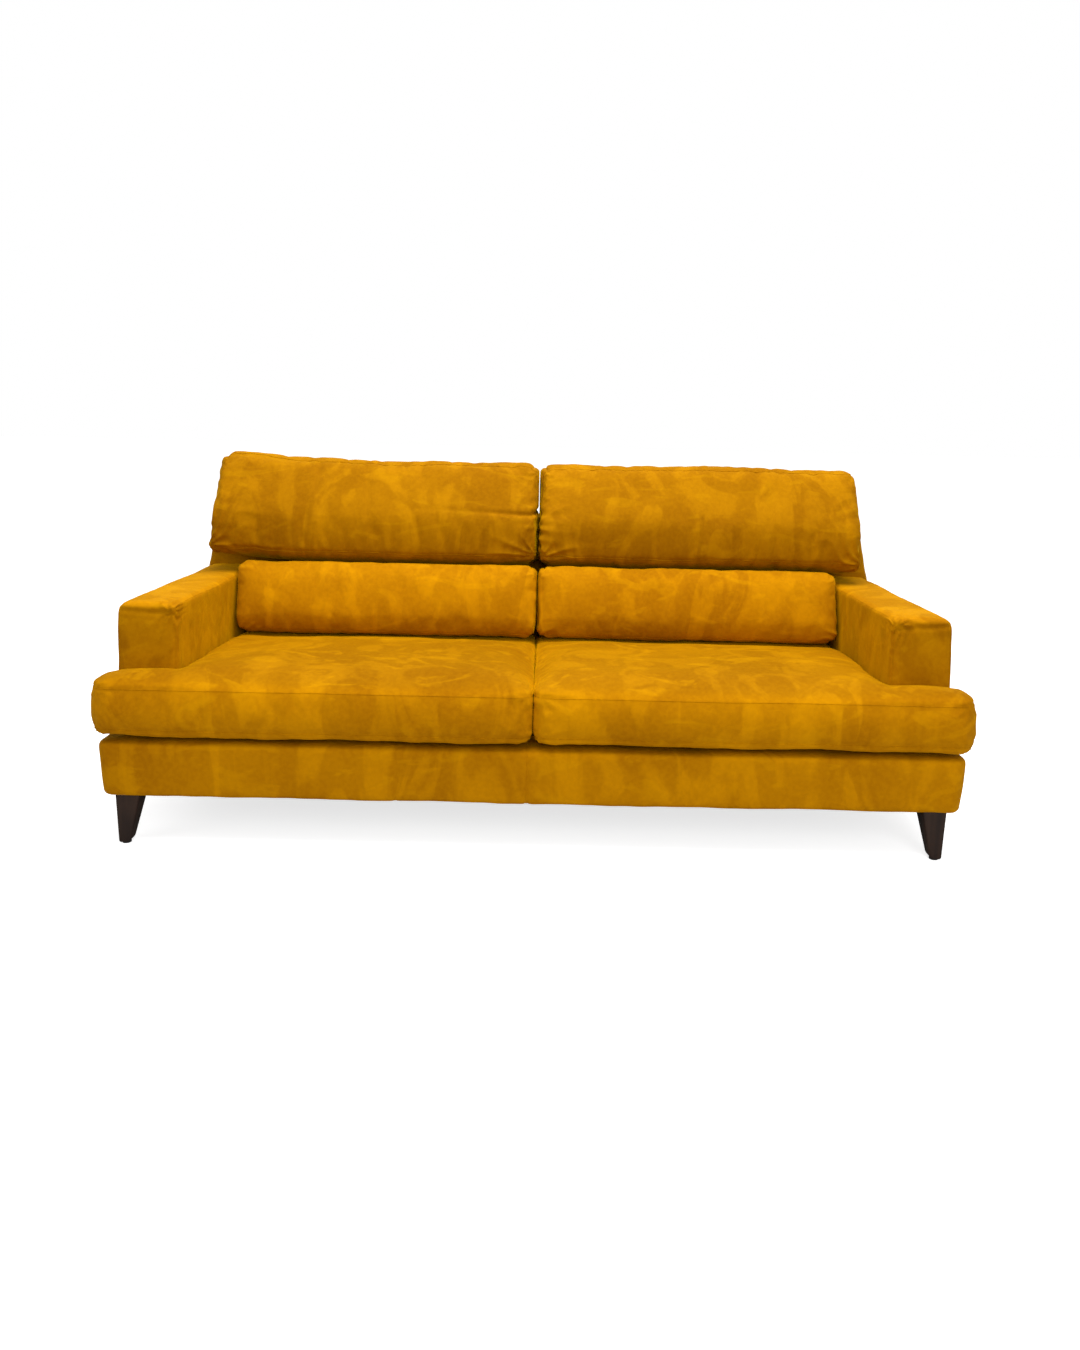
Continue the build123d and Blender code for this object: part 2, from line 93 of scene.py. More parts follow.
SEAT_OUT = joint_axis("right_seat_cushion_out")
DECK_POINT = Vector((0, low("seat_platform").y, high("seat_platform").z))
DECK_UP = Vector((0, SEAT_OUT.z, -SEAT_OUT.y))  # square to the sloping seat deck
SEAT_THICK = 0.1565  # square to the deck, under the lumbar cushions
GAP = 0.0012  # clearance between loose pieces that touch
ARM_IN = low("right_arm_cover").x
ARM_OUT = high("right_arm_cover").x
ARM_FRONT = low("right_arm_cover").y
ARM_TOP = high("right_arm_cover").z
ARM_FOOT = low("right_arm_cover").z
BACK_TOP = high("back_inner_cover").z
BACK_WIDE = high("back_inner_cover").x
UPPER_WIDE = high("right_upper_cover").x
SEAT_WIDE = high("right_seat_cover").x
BASE_LOW = low("base_front_cover").z
BASE_HIGH = high("base_front_cover").z
BASE_WIDE = high("base_front_cover").x
BASE_FRONT = low("base_front_cover").y
BASE_REAR = high("base_rear_cover").y
INSIDE_BACK = 0.310  # depth of the inside back at arm height
RECLINE = math.tan(math.radians(12))
OUTSIDE_FOOT = 0.423  # depth of the outside back at its foot and at its top
OUTSIDE_TOP = 0.4938
OUTSIDE_RISE = (OUTSIDE_TOP - OUTSIDE_FOOT) / (BACK_TOP - ARM_FOOT)
BACK_NORMAL = Vector((0, -1, RECLINE)).normalized()  # out of the inside back, towards the sitter
BACK_PLANE = (Vector((0, INSIDE_BACK - 0.003, ARM_TOP)), -BACK_NORMAL)  # what the back cushions lean on


def inside_back(z):
    return INSIDE_BACK + (z - ARM_TOP) * RECLINE


def outside_back(z):
    return OUTSIDE_FOOT + (z - ARM_FOOT) * OUTSIDE_RISE


# ---- sizes and colours ----
def length(name, description, default):
    return bpy.props.FloatProperty(
        name=name, description=description, default=default, min=0, unit="LENGTH", precision=4
    )


def colour(name, description, default):
    return bpy.props.FloatVectorProperty(
        name=name, description=description, default=default, size=3, min=0, max=1, subtype="COLOR"
    )


class SofaSizes(bpy.types.PropertyGroup):
    cushion_mesh: length("Cushion mesh", "Cell size of a cushion before its last subdivision", 0.010)
    panel_mesh: length("Panel mesh", "Cell size of the tight upholstery before its subdivision", 0.009)
    swell: length("Swell", "The most that a cushion may puff out under its filling", 0.024)
    seam: length("Seam", "Thickness of the ridge along a sewn seam", 0.0030)
    dip: length("Seam dip", "How far the fabric sinks where a seam pulls it in", 0.0028)
    crease: length("Crease", "Depth of the soft creases near seams and corners", 0.0035)


class SofaColours(bpy.types.PropertyGroup):
    velvet: colour("Velvet", "Pile brushed towards the light", (0.500, 0.210, 0.001))
    velvet_deep: colour("Velvet, deep", "Pile brushed away from the light", (0.300, 0.110, 0.001))
    wood: colour("Leg wood", "Stained wood of the legs", (0.031, 0.014, 0.008))
    wood_deep: colour("Leg wood, grain", "Dark grain in the legs", (0.014, 0.006, 0.004))


def sizes():
    return bpy.context.scene.sofa_sizes


def colours():
    return bpy.context.scene.sofa_colours


# ---- shaders ----
class Socket:
    """A shader output that can be used in sums."""

    def __init__(self, tree, output):
        self.tree = tree
        self.output = output

    def node(self, kind, settings, inputs, out=0):
        """Adds a node, sets it up, fills its sockets and gives one of its outputs."""
        made = self.tree.nodes.new(kind)
        for key, value in settings.items():
            if key == "stops":
                ramp = made.color_ramp
                while len(ramp.elements) < len(value):
                    ramp.elements.new(0.5)
                for stop, (place, tint) in zip(ramp.elements, value):
                    stop.position = place
                    stop.color = (*tint, 1)
            else:
                setattr(made, key, value)
        for key, value in inputs.items():
            if isinstance(value, Socket):
                self.tree.links.new(value.output, made.inputs[key])
            else:
                made.inputs[key].default_value = value
        return Socket(self.tree, made.outputs[out])

    def sum(self, operation, a, b):
        return self.node("ShaderNodeMath", {"operation": operation}, {0: a, 1: b})

    def __add__(self, other):
        return self.sum("ADD", self, other)

    def __sub__(self, other):
        return self.sum("SUBTRACT", self, other)

    def __rsub__(self, other):
        return self.sum("SUBTRACT", other, self)

    def __mul__(self, other):
        return self.sum("MULTIPLY", self, other)

    __radd__ = __add__

    def stretched(self, scale):
        return self.node("ShaderNodeMapping", {}, {"Vector": self, "Scale": scale})

    def noise(self, scale, detail=3.0, distortion=0.0):
        wanted = {"Vector": self, "Scale": scale, "Detail": detail, "Distortion": distortion}
        return self.node("ShaderNodeTexNoise", {}, wanted)

    def between(self, bottom, top):
        """Runs from 0 at bottom to 1 at top, eased at both ends."""
        wanted = {"Value": self, "From Min": bottom, "From Max": top}
        return self.node("ShaderNodeMapRange", {"interpolation_type": "SMOOTHSTEP"}, wanted)

    def blend(self, first, second):
        """A colour from first to second as this socket goes from 0 to 1."""
        ends = {6 + n: c if isinstance(c, Socket) else (*c, 1) for n, c in enumerate((first, second))}
        return self.node("ShaderNodeMix", {"data_type": "RGBA"}, {0: self, **ends}, out=2)

    def bump(self, strength, distance, under=None):
        wanted = {"Strength": strength, "Distance": distance, "Height": self}
        if under is not None:
            wanted["Normal"] = under
        return self.node("ShaderNodeBump", {}, wanted)


def start_material(name):
    """A new material's surface shader and its object coordinates."""
    material = bpy.data.materials.new(name)
    material.use_nodes = True
    surface = material.node_tree.nodes["Principled BSDF"]
    start = Socket(material.node_tree, None)
    return material, surface, start.node("ShaderNodeTexCoord", {}, {}, out="Object")


def finish_surface(place, surface, links, values):
    for name, value in values.items():
        surface.inputs[name].default_value = value
    for name, socket in links.items():
        place.tree.links.new(socket.output, surface.inputs[name])


def velvet(name, upright_painted_tone, level_painted_tone):
    """Short pile in brushed patches, with painted light and shade by facing: the first tone is painted on upright
    faces, the second on level ones.
    """
    material, surface, place = start_material(name)
    tints = colours()
    clouds = place.noise(2.3, 4.0, 1.1).between(0.32, 0.68)
    strokes = place.stretched((7.0, 7.0, 2.4)).noise(1.0, 5.0, 1.6).between(0.46, 0.58)
    wisps = place.stretched((4.0, 9.0, 9.0)).noise(1.2, 6.0, 2.2).between(0.55, 0.66)
    mottle = place.noise(85.0, 6.0).between(0.34, 0.66)
    nap = clouds * 0.40 + strokes * 0.36 + mottle * 0.18
    facing = place.node("ShaderNodeNewGeometry", {}, {}, "Normal")
    # Painted light and shade: upright and level faces take different tones, set for how the lamps fall on them.
    level = facing.node("ShaderNodeSeparateXYZ", {}, {"Vector": facing}, "Z").between(0.45, 0.95)
    upright, level_painted_colour = (
        nap.blend(*(tuple(c * tone for c in tint) for tint in (tints.velvet_deep, tints.velvet)))
        for tone in (upright_painted_tone, level_painted_tone)
    )
    warm = tuple(min(1.0, c * upright_painted_tone * k) for c, k in zip(tints.velvet, (1.18, 1.30, 1.0)))
    lit = (wisps * 0.22).blend(level.blend(upright, level_painted_colour), warm)
    pile = place.noise(1300.0, 2.0)
    drift = place.noise(70.0, 4.0, 0.4)
    bumps = drift.bump(0.16, 0.0016, pile.bump(0.30, 0.0005))
    links = {"Base Color": lit, "Roughness": 0.93 - nap * 0.16, "Normal": bumps}
    values = {
        "Sheen Weight": 0.42,
        "Sheen Roughness": 0.36,
        "Sheen Tint": (1.0, 0.60, 0.0, 1),
        "Specular IOR Level": 0.10,
        "Specular Tint": (1.0, 0.60, 0.0, 1),
    }
    finish_surface(place, surface, links, values)
    return material


def cloth(name, main, thread, scale):
    """A plain woven cloth: warp and weft threads with a little uneven dye."""
    material, surface, place = start_material(name)
    wanted = {"Vector": place, "Scale": scale}
    warp, weft = (
        place.node("ShaderNodeTexWave", {"wave_profile": "SIN", "bands_direction": axis}, wanted, 1)
        for axis in "XY"
    )
    weave = warp * 0.5 + weft * 0.5
    dye = place.noise(14.0, 4.0)
    links = {
        "Base Color": (weave * 0.6 + dye * 0.4).between(0.2, 0.8).blend(main, thread),
        "Roughness": 0.9 - dye * 0.15,
        "Normal": weave.bump(0.4, 0.0006),
    }
    finish_surface(place, surface, links, {"Sheen Weight": 0.15})
    return material


def timber(name, light, dark, along, gloss=0.6, coat=0.0):
    """Wood with grain running along one axis ("X", "Y" or "Z"), pores and uneven stain."""
    material, surface, place = start_material(name)
    stretch = tuple(2.0 if axis == along else 42.0 for axis in "XYZ")
    grain = place.stretched(stretch).noise(1.0, 6.0, 0.9)
    pores = place.stretched(tuple(s * 9 for s in stretch)).noise(1.0, 3.0)
    stain = place.noise(9.0, 3.0, 0.5)
    figure = (grain * 0.75 + stain * 0.25).between(0.36, 0.64)
    links = {
        "Base Color": figure.blend(dark, light),
        "Roughness": gloss + pores * 0.16 - grain * 0.06,
        "Normal": pores.bump(0.25, 0.0004, grain.bump(0.2, 0.0006)),
    }
    values = {"Coat Weight": coat, "Coat Roughness": 0.30, "Specular IOR Level": 0.25}
    finish_surface(place, surface, links, values)
    return material


def grained(name, main, other, scale, rough, depth, metal=0.0):
    """Foam, board, moulded plastic or drawn metal: a fine grain over a slow change of tone."""
    material, surface, place = start_material(name)
    fine = place.noise(scale, 4.0)
    slow = place.noise(12.0, 3.0, 0.4)
    links = {
        "Base Color": (fine * 0.5 + slow * 0.5).between(0.3, 0.7).blend(main, other),
        "Roughness": rough + fine * 0.15,
        "Normal": fine.bump(0.5, depth),
    }
    finish_surface(place, surface, links, {"Metallic": metal})
    return material


def make_materials():
    wood, wood_deep = tuple(colours().wood), tuple(colours().wood_deep)
    pine, pine_deep = (0.60, 0.40, 0.21), (0.42, 0.25, 0.11)
    steel, steel_dull = (0.24, 0.24, 0.25), (0.36, 0.35, 0.34)
    plated, plated_dull = (0.52, 0.52, 0.50), (0.66, 0.65, 0.60)
    return {
        # Each velvet's two numbers are painted light and shade: its tone on upright and on level faces, set per
        # group of pieces for how the light falls there, and partly standing for each group's differently laid nap.
        "velvet": velvet("brushed velvet", 1.10, 0.80),
        "velvet_arms": velvet("brushed velvet, arms", 0.92, 1.10),
        "velvet_lumbar": velvet("brushed velvet, lumbar", 1.08, 1.0),
        "velvet_upper": velvet("brushed velvet, upper", 0.76, 0.84),
        "platform_cloth": cloth("platform cloth", (0.050, 0.028, 0.010), (0.085, 0.050, 0.020), 260.0),
        "webbing": cloth("elastic webbing", (0.05, 0.05, 0.05), (0.40, 0.36, 0.28), 120.0),
        "dust_cloth": cloth("dust cloth", (0.012, 0.012, 0.013), (0.035, 0.035, 0.036), 420.0),
        "leg_wood": timber("stained leg wood", wood, wood_deep, "Z", 0.50, 0.06),
        "frame_timber": timber("planed softwood", pine, pine_deep, "X"),
        "hardboard": grained("hardboard", (0.22, 0.12, 0.06), (0.33, 0.20, 0.11), 900.0, 0.7, 0.0004),
        "foam": grained("cut foam", (0.80, 0.70, 0.44), (0.90, 0.83, 0.60), 700.0, 0.85, 0.0012),
        "fibre_fill": grained("fibre filling", (0.84, 0.83, 0.80), (0.93, 0.92, 0.90), 240.0, 0.85, 0.0020),
        "spring_steel": grained("spring steel", steel, steel_dull, 800.0, 0.35, 0.0002, 1.0),
        "fastener_steel": grained("plated steel", plated, plated_dull, 600.0, 0.3, 0.0002, 1.0),
        "clip_plastic": grained("clip plastic", (0.80, 0.80, 0.78), (0.88, 0.88, 0.86), 500.0, 0.5, 0.0002),
        "glide_plastic": grained("glide plastic", (0.02, 0.02, 0.02), (0.05, 0.05, 0.05), 500.0, 0.5, 0.0003),
        "zip": grained("zip", (0.30, 0.13, 0.006), (0.42, 0.19, 0.01), 500.0, 0.55, 0.0003),
    }


MATERIALS = {}


def material_of(slot):
    if not MATERIALS:
        MATERIALS.update(make_materials())
    return MATERIALS[slot]


# ---- mesh tools ----
def new_piece(name, verts, faces, slot, body, smooth=True, finish=None):
    """Makes an object from vertices and faces, finishes it and makes it ride on its body."""
    mesh = bpy.data.meshes.new(name)
    mesh.from_pydata([tuple(v) for v in verts], [], [tuple(f) for f in faces])
    mesh.update()
    piece = bpy.data.objects.new(name, mesh)
    bpy.context.collection.objects.link(piece)
    if smooth:
        shade_smooth(piece)
    mesh.materials.append(material_of(finish or slot))
    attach(piece, body)
    return piece


def shade_smooth(piece):
    piece.data.polygons.foreach_set("use_smooth", [True] * len(piece.data.polygons))


def points_of(piece):
    got = np.empty(len(piece.data.vertices) * 3)
    piece.data.vertices.foreach_get("co", got)
    return got.reshape(-1, 3)


def normals_of(piece):
    got = np.empty(len(piece.data.vertices) * 3)
    piece.data.vertex_normals.foreach_get("vector", got)
    return got.reshape(-1, 3)


def move_points(piece, points):
    piece.data.vertices.foreach_set("co", np.ascontiguousarray(points).ravel())
    piece.data.update()


def apply_modifier(piece, modifier):
    with bpy.context.temp_override(object=piece, active_object=piece, selected_objects=[piece]):
        bpy.ops.object.modifier_apply(modifier=modifier.name)


def remesh(piece, cell, smoothing):
    voxels = piece.modifiers.new("Remesh", "REMESH")
    voxels.mode = "VOXEL"
    voxels.voxel_size = cell
    voxels.use_smooth_shade = True
    apply_modifier(piece, voxels)
    if smoothing:
        relax = piece.modifiers.new("Smooth", "SMOOTH")
        relax.iterations = smoothing
        apply_modifier(piece, relax)


def subdivide(piece):
    finer = piece.modifiers.new("Subdivision", "SUBSURF")
    finer.levels = finer.render_levels = 1
    apply_modifier(piece, finer)


def soft_noise(points, wavelength, seed, waves=9):
    """Smooth noise about -1 to 1: a sum of waves in random directions."""
    random = np.random.default_rng(seed)
    total = np.zeros(len(points))
    for _ in range(waves):
        direction = random.normal(size=3)
        direction /= np.linalg.norm(direction)
        pitch = wavelength * random.uniform(0.7, 1.6)
        total += np.sin(points @ direction * (math.tau / pitch) + random.uniform(0, math.tau))
    return total / math.sqrt(waves * 1.4)


def ripple(points, normals, wavelength, seed, depth):
    """Gentle unevenness all over a piece."""
    points += normals * (soft_noise(points, wavelength, seed) * depth)[:, None]


def rounded_rectangle(x0, x1, y0, y1, radii, cells):
    """Points round a rectangle, with a radius for each corner and a count of cells along x and y."""
    corners = [
        (x0 + radii[0], y0 + radii[0], radii[0], math.pi),
        (x1 - radii[1], y0 + radii[1], radii[1], 1.5 * math.pi),
        (x1 - radii[2], y1 - radii[2], radii[2], 0.0),
        (x0 + radii[3], y1 - radii[3], radii[3], 0.5 * math.pi),
    ]
    arcs = []
    for x, y, radius, turn in corners:
        bends = [turn + math.pi / 2 * n / 6 for n in range(7)]
        arcs.append([(x + radius * math.cos(a), y + radius * math.sin(a)) for a in bends])
    points = []
    for side, (arc, following) in enumerate(zip(arcs, arcs[1:] + arcs[:1])):
        points += arc
        (ax, ay), (bx, by) = arc[-1], following[0]
        gaps = cells[side % 2]
        points += [(ax + (bx - ax) * n / gaps, ay + (by - ay) * n / gaps) for n in range(1, gaps)]
    return points


def ring_faces(rings, count, first_cap=True, last_cap=True):
    """Faces between rings of equal count, and over the open ends."""
    faces = []
    for r in range(rings - 1):
        a, b = r * count, (r + 1) * count
        faces += [(a + n, a + (n + 1) % count, b + (n + 1) % count, b + n) for n in range(count)]
    if first_cap:
        faces.append(tuple(reversed(range(count))))
    if last_cap:
        faces.append(tuple(range((rings - 1) * count, rings * count)))
    return faces


def rim(radius, steps=5):
    """Inset and depth of each ring over a rounded rim, from its face to its side."""
    turns = [math.pi / 2 * n / steps for n in range(steps + 1)]
    return [(radius * (1 - math.sin(t)), radius * (1 - math.cos(t))) for t in turns]


def fix_normals(piece):
    shape = bmesh.new()
    shape.from_mesh(piece.data)
    bmesh.ops.recalc_face_normals(shape, faces=shape.faces)
    shape.to_mesh(piece.data)
    shape.free()


def push_out(points, corner_low, corner_high):
    """Pushes points that are inside a box out through its nearest side."""
    corner_low, corner_high = np.array(corner_low), np.array(corner_high)
    inside = np.all((points > corner_low) & (points < corner_high), axis=1)
    caught = points[inside]
    if len(caught):
        gaps = np.concatenate([caught - corner_low, corner_high - caught], axis=1)
        side = np.argmin(gaps, axis=1)
        rows = np.arange(len(caught))
        caught[rows, side % 3] = np.where(side < 3, corner_low[side % 3], corner_high[side % 3])
        points[inside] = caught


def press_flat(points, planes):
    """Flattens points against planes that a piece rests on, each a point and an outward normal."""
    for point, normal in planes:
        past = (points - np.array(point)) @ np.array(normal)
        points -= np.outer(np.maximum(past, 0), normal)


def round_corner(points, x_edge, x_inward, z_edge, z_inward, radius):
    """Rounds a corner that is square when seen from the front. Inward is 1 or -1 along each axis."""
    u = 1 - (points[:, 0] - x_edge) * x_inward / radius
    v = 1 - (points[:, 2] - z_edge) * z_inward / radius
    near = (u > 0) & (v > 0)
    share = np.where(near, np.maximum(u, v) / np.maximum(np.hypot(u, v), 1e-6), 1.0)
    points[:, 0] = np.where(near, x_edge + x_inward * radius * (1 - u * share), points[:, 0])
    points[:, 2] = np.where(near, z_edge + z_inward * radius * (1 - v * share), points[:, 2])


# ---- sewing ----
def cut_loops(piece, point, normal):
    """The lines where a plane crosses a piece, each in order. Scraps are left out."""
    shape = bmesh.new()
    shape.from_mesh(piece.data)
    every = [*shape.verts, *shape.edges, *shape.faces]
    cut = bmesh.ops.bisect_plane(shape, geom=every, plane_co=point, plane_no=normal, dist=1e-6)
    edges = [e for e in cut["geom_cut"] if isinstance(e, bmesh.types.BMEdge)]
    near = {}
    for edge in edges:
        a, b = edge.verts
        near.setdefault(a, []).append(b)
        near.setdefault(b, []).append(a)
    loops = []
    waiting = set(near)
    while waiting:
        start = min(waiting, key=lambda v: (len(near[v]), tuple(v.co)))
        line = [start]
        waiting.discard(start)
        here = start
        while True:
            onward = [v for v in near[here] if v in waiting]
            if not onward:
                break
            here = onward[0]
            waiting.discard(here)
            line.append(here)
        loops.append([v.co.copy() for v in line])
    shape.free()
    fewest = 20
    return [line for line in loops if len(line) > fewest]


def smooth_loop(line):
    """Evens out a cut line with two passes over its points."""
    ring = np.array([tuple(p) for p in line])
    for _ in range(2):
        ring = ring / 2 + (np.roll(ring, 1, 0) + np.roll(ring, -1, 0)) / 4
    return ring


def seam_ridge(name, piece, body, cuts, keep=None, thick=1.0):
    """One piece of sewn ridge along every line where the cutting planes cross a cushion or panel."""
    curve = bpy.data.curves.new(name, "CURVE")
    curve.dimensions = "3D"
    curve.bevel_depth = sizes().seam / 2 * thick
    curve.bevel_resolution = 2
    for point, normal in cuts:
        for line in cut_loops(piece, point, normal):
            ring = smooth_loop(line)
            for run in [ring] if keep is None else kept_runs(ring, keep):
                spline = curve.splines.new("POLY")
                spline.points.add(len(run) - 1)
                spline.points.foreach_set("co", np.column_stack([run, np.ones(len(run))]).ravel())
                spline.use_cyclic_u = keep is None
    ridge = bpy.data.objects.new(name, curve)
    bpy.context.collection.objects.link(ridge)
    curve.materials.append(piece.data.materials[0])
    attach(ridge, body)


def kept_runs(ring, keep):
    """The stretches of a ring whose points pass a test."""
    good = keep(ring)
    if good.all():
        return [np.vstack([ring, ring[:1]])]
    shift = int(np.argmin(good))
    ring, good = np.roll(ring, -shift, 0), np.roll(good, -shift)
    runs, run = [], []
    for point, fine in zip(ring, good):
        if fine:
            run.append(point)
        elif run:
            runs.append(run)
            run = []
    if run:
        runs.append(run)
    return [np.array(r) for r in runs if len(r) > 4]


def pull_in_seam(points, normals, point, normal, seed, where=1.0):
    """Sinks the fabric along a seam, with puckers to either side of it."""
    dip_reach, pucker_reach, pucker_long = 0.0065, 0.026, 0.050
    away = (points - np.array(point)) @ np.array(normal)
    dip = np.exp(-((away / dip_reach) ** 2)) * sizes().dip
    fade = np.exp(-np.abs(away) / pucker_reach)
    pucker = soft_noise(points, pucker_long, seed) * fade * sizes().crease * 0.30
    move = (dip + pucker) * where
    points -= normals * move[:, None]


def gather(points, normals, centre, reach, folds, depth, seed):
    """Folds that fan out from a corner where the fabric is bunched into the seam."""
    from_centre = points - np.array(centre)
    away = np.linalg.norm(from_centre, axis=1)
    turn = np.arctan2(from_centre[:, 2], from_centre[:, 0]) + 0.35 * soft_noise(points, reach * 1.4, seed)
    fall = np.exp(-((away / reach) ** 2)) * np.minimum(1, away / (0.22 * reach))
    sharp = 1 - 2 * np.abs(np.sin(turn * folds / 2 + seed)) ** 0.7
    points += normals * (sharp * fall * depth)[:, None]


def side_creases(points, normals, at, reach, pitch, depth, seed, axis=0, along=2):
    """Short creases that run in from a cushion's end."""
    away = np.abs(points[:, axis] - at)
    wander = 0.6 * soft_noise(points, 0.16, seed) + away * 5.0
    wave = np.sin(points[:, along] * math.tau / pitch + wander * 3)
    strength = 0.55 + 0.45 * soft_noise(points * np.array([0.25, 1, 1]), 0.14, seed + 1)
    sharp = np.sign(wave) * np.abs(wave) ** 1.4
    points += normals * (sharp * strength * depth * np.exp(-away / reach))[:, None]


# ---- cushions ----
FILLING_FRAMES = 20


def fill_cushion(piece, held, growth, planes, boxes=()):
    """Fills a cushion with a cloth simulation, then limits how far it has puffed out."""
    before = points_of(piece)
    group = piece.vertex_groups.new(name="held")
    for weight in np.unique(held.round(2)):
        chosen = np.nonzero(held.round(2) == weight)[0]
        group.add([int(n) for n in chosen], float(weight), "REPLACE")
    puff = piece.modifiers.new("Cloth", "CLOTH")
    fabric = puff.settings
    fabric.quality = 4
    fabric.mass = 0.25
    fabric.tension_stiffness = 14
    fabric.compression_stiffness = 10
    fabric.shear_stiffness = 4
    fabric.bending_stiffness = 0.25
    fabric.shrink_min = -growth
    fabric.use_pressure = True
    fabric.uniform_pressure_force = 4.0
    fabric.vertex_group_mass = "held"
    fabric.pin_stiffness = 1.0
    fabric.effector_weights.gravity = 0
    puff.collision_settings.use_collision = False
    puff.point_cache.frame_start = 1
    puff.point_cache.frame_end = FILLING_FRAMES
    for frame in range(1, FILLING_FRAMES + 1):
        bpy.context.scene.frame_set(frame)
    apply_modifier(piece, puff)
    bpy.context.scene.frame_set(1)
    moved = points_of(piece) - before
    far = np.linalg.norm(moved, axis=1)[:, None]
    after = before + moved / (1 + far / sizes().swell)
    press_flat(after, planes)
    for corner_low, corner_high in boxes:
        push_out(after, corner_low, corner_high)
    move_points(piece, after)
    subdivide(piece)


def start_cushion(name, side):
    """A cushion that begins as its filling and stands for the whole of it."""
    core = FRAME["nodes"][f"{side}_{name}_core"]
    piece = bpy.data.objects.new(f"{side}_{name}_cushion", core.data.copy())
    bpy.context.collection.objects.link(piece)
    piece.data.materials.clear()
    piece.data.materials.append(material_of("velvet" if name == "seat" else f"velvet_{name}"))
    remesh(piece, sizes().cushion_mesh, 2)
    return piece


def end_cushion(piece, name, side):
    """Puts a cushion on its body in place of its cover and core, and zips it up."""
    body = f"{side}_{name}_cushion"
    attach(piece, body)
    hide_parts(f"{side}_{name}_cover", f"{side}_{name}_core")
    shade_smooth(piece)
    add_zip(piece, name, side)


def box_piece(centre, size, turn):
    """Vertices and faces of a small chamfered block, turned by a matrix."""
    edge, cut = 0.5, 0.35
    ring = [(-edge, -cut), (-cut, -edge), (cut, -edge), (edge, -cut)]
    ring += [(-x, -y) for x, y in ring]
    verts = []
    for z, pinch in ((-0.5, 0.8), (-0.3, 1.0), (0.3, 1.0), (0.5, 0.8)):
        for x, y in ring:
            verts.append(centre + turn @ Vector((x * pinch * size[0], y * pinch * size[1], z * size[2])))
    return verts, ring_faces(4, len(ring))


def add_zip(piece, name, side):
    """A coil zip with its tapes, slider and pull, lying on the cushion's rear wall."""
    node = f"{side}_{name}_zip"
    corner_low, corner_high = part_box(node)
    middle_y = (corner_low.y + corner_high.y) / 2
    middle_z = (corner_low.z + corner_high.z) / 2
    sides = [p.vertices for p in piece.data.polygons]
    tree = BVHTree.FromPolygons([v.co for v in piece.data.vertices], sides)
    start = Vector((0, middle_y + 0.15, middle_z))
    verts, faces = [], []

    def add(part):
        more, more_faces = part
        faces.extend([tuple(n + len(verts) for n in face) for face in more_faces])
        verts.extend(more)

    tooth = 0.0045
    tape, coil = 0.008, 0.0015  # half widths
    tooth_size = (0.0028, 0.005, 0.0014)
    slider_size, pull_size = (0.011, 0.008, 0.0026), (0.020, 0.005, 0.0012)
    count = int((corner_high.x - corner_low.x) / tooth)
    lines = []
    for n in range(count + 1):
        x = corner_low.x + n * tooth
        row = []
        for up in (-tape, -coil, coil, tape):
            hit, face_normal, _, _ = tree.ray_cast(start + Vector((x, 0, up)), Vector((0, -1, 0)))
            if hit is None:
                hit, face_normal = Vector((x, middle_y, middle_z + up)), Vector((0, 1, 0))
            row.append(hit + face_normal * (0.0006 if abs(up) > coil else 0.0012))
        lines.append(row)
        if 0 < n < count:
            turn = Vector((0, 0, 1)).rotation_difference(face_normal).to_matrix()
            add(box_piece((row[1] + row[2]) / 2 + face_normal * 0.0006, tooth_size, turn))
    base = len(verts)
    for row in lines:
        verts.extend(row)
    for n in range(len(lines) - 1):
        for m in range(3):
            a = base + n * 4 + m
            faces.append((a, a + 1, a + 5, a + 4))
    at = (lines[-6][1] + lines[-6][2]) / 2
    out = Vector((0, 1, 0))
    turn = Vector((0, 0, 1)).rotation_difference(out).to_matrix()
    add(box_piece(at + out * 0.0018, slider_size, turn))
    add(box_piece(at + out * 0.0026 - Vector((0.014, 0, 0.001)), pull_size, turn))
    fastener = new_piece(f"{node}_fastener", verts, faces, "zip", f"{side}_{name}_cushion", smooth=False)
    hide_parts(node)


BEYOND = 1.3  # past every side of the sofa


def middle_plane(sign, gap):
    """Where a cushion meets its neighbour at the middle of the sofa."""
    return Vector((sign * gap, 0, 0)), Vector((-sign, 0, 0))


def deck_height(points):
    """Height of points above the sloping seat deck."""
    return (points - np.array(DECK_POINT)) @ np.array(DECK_UP)


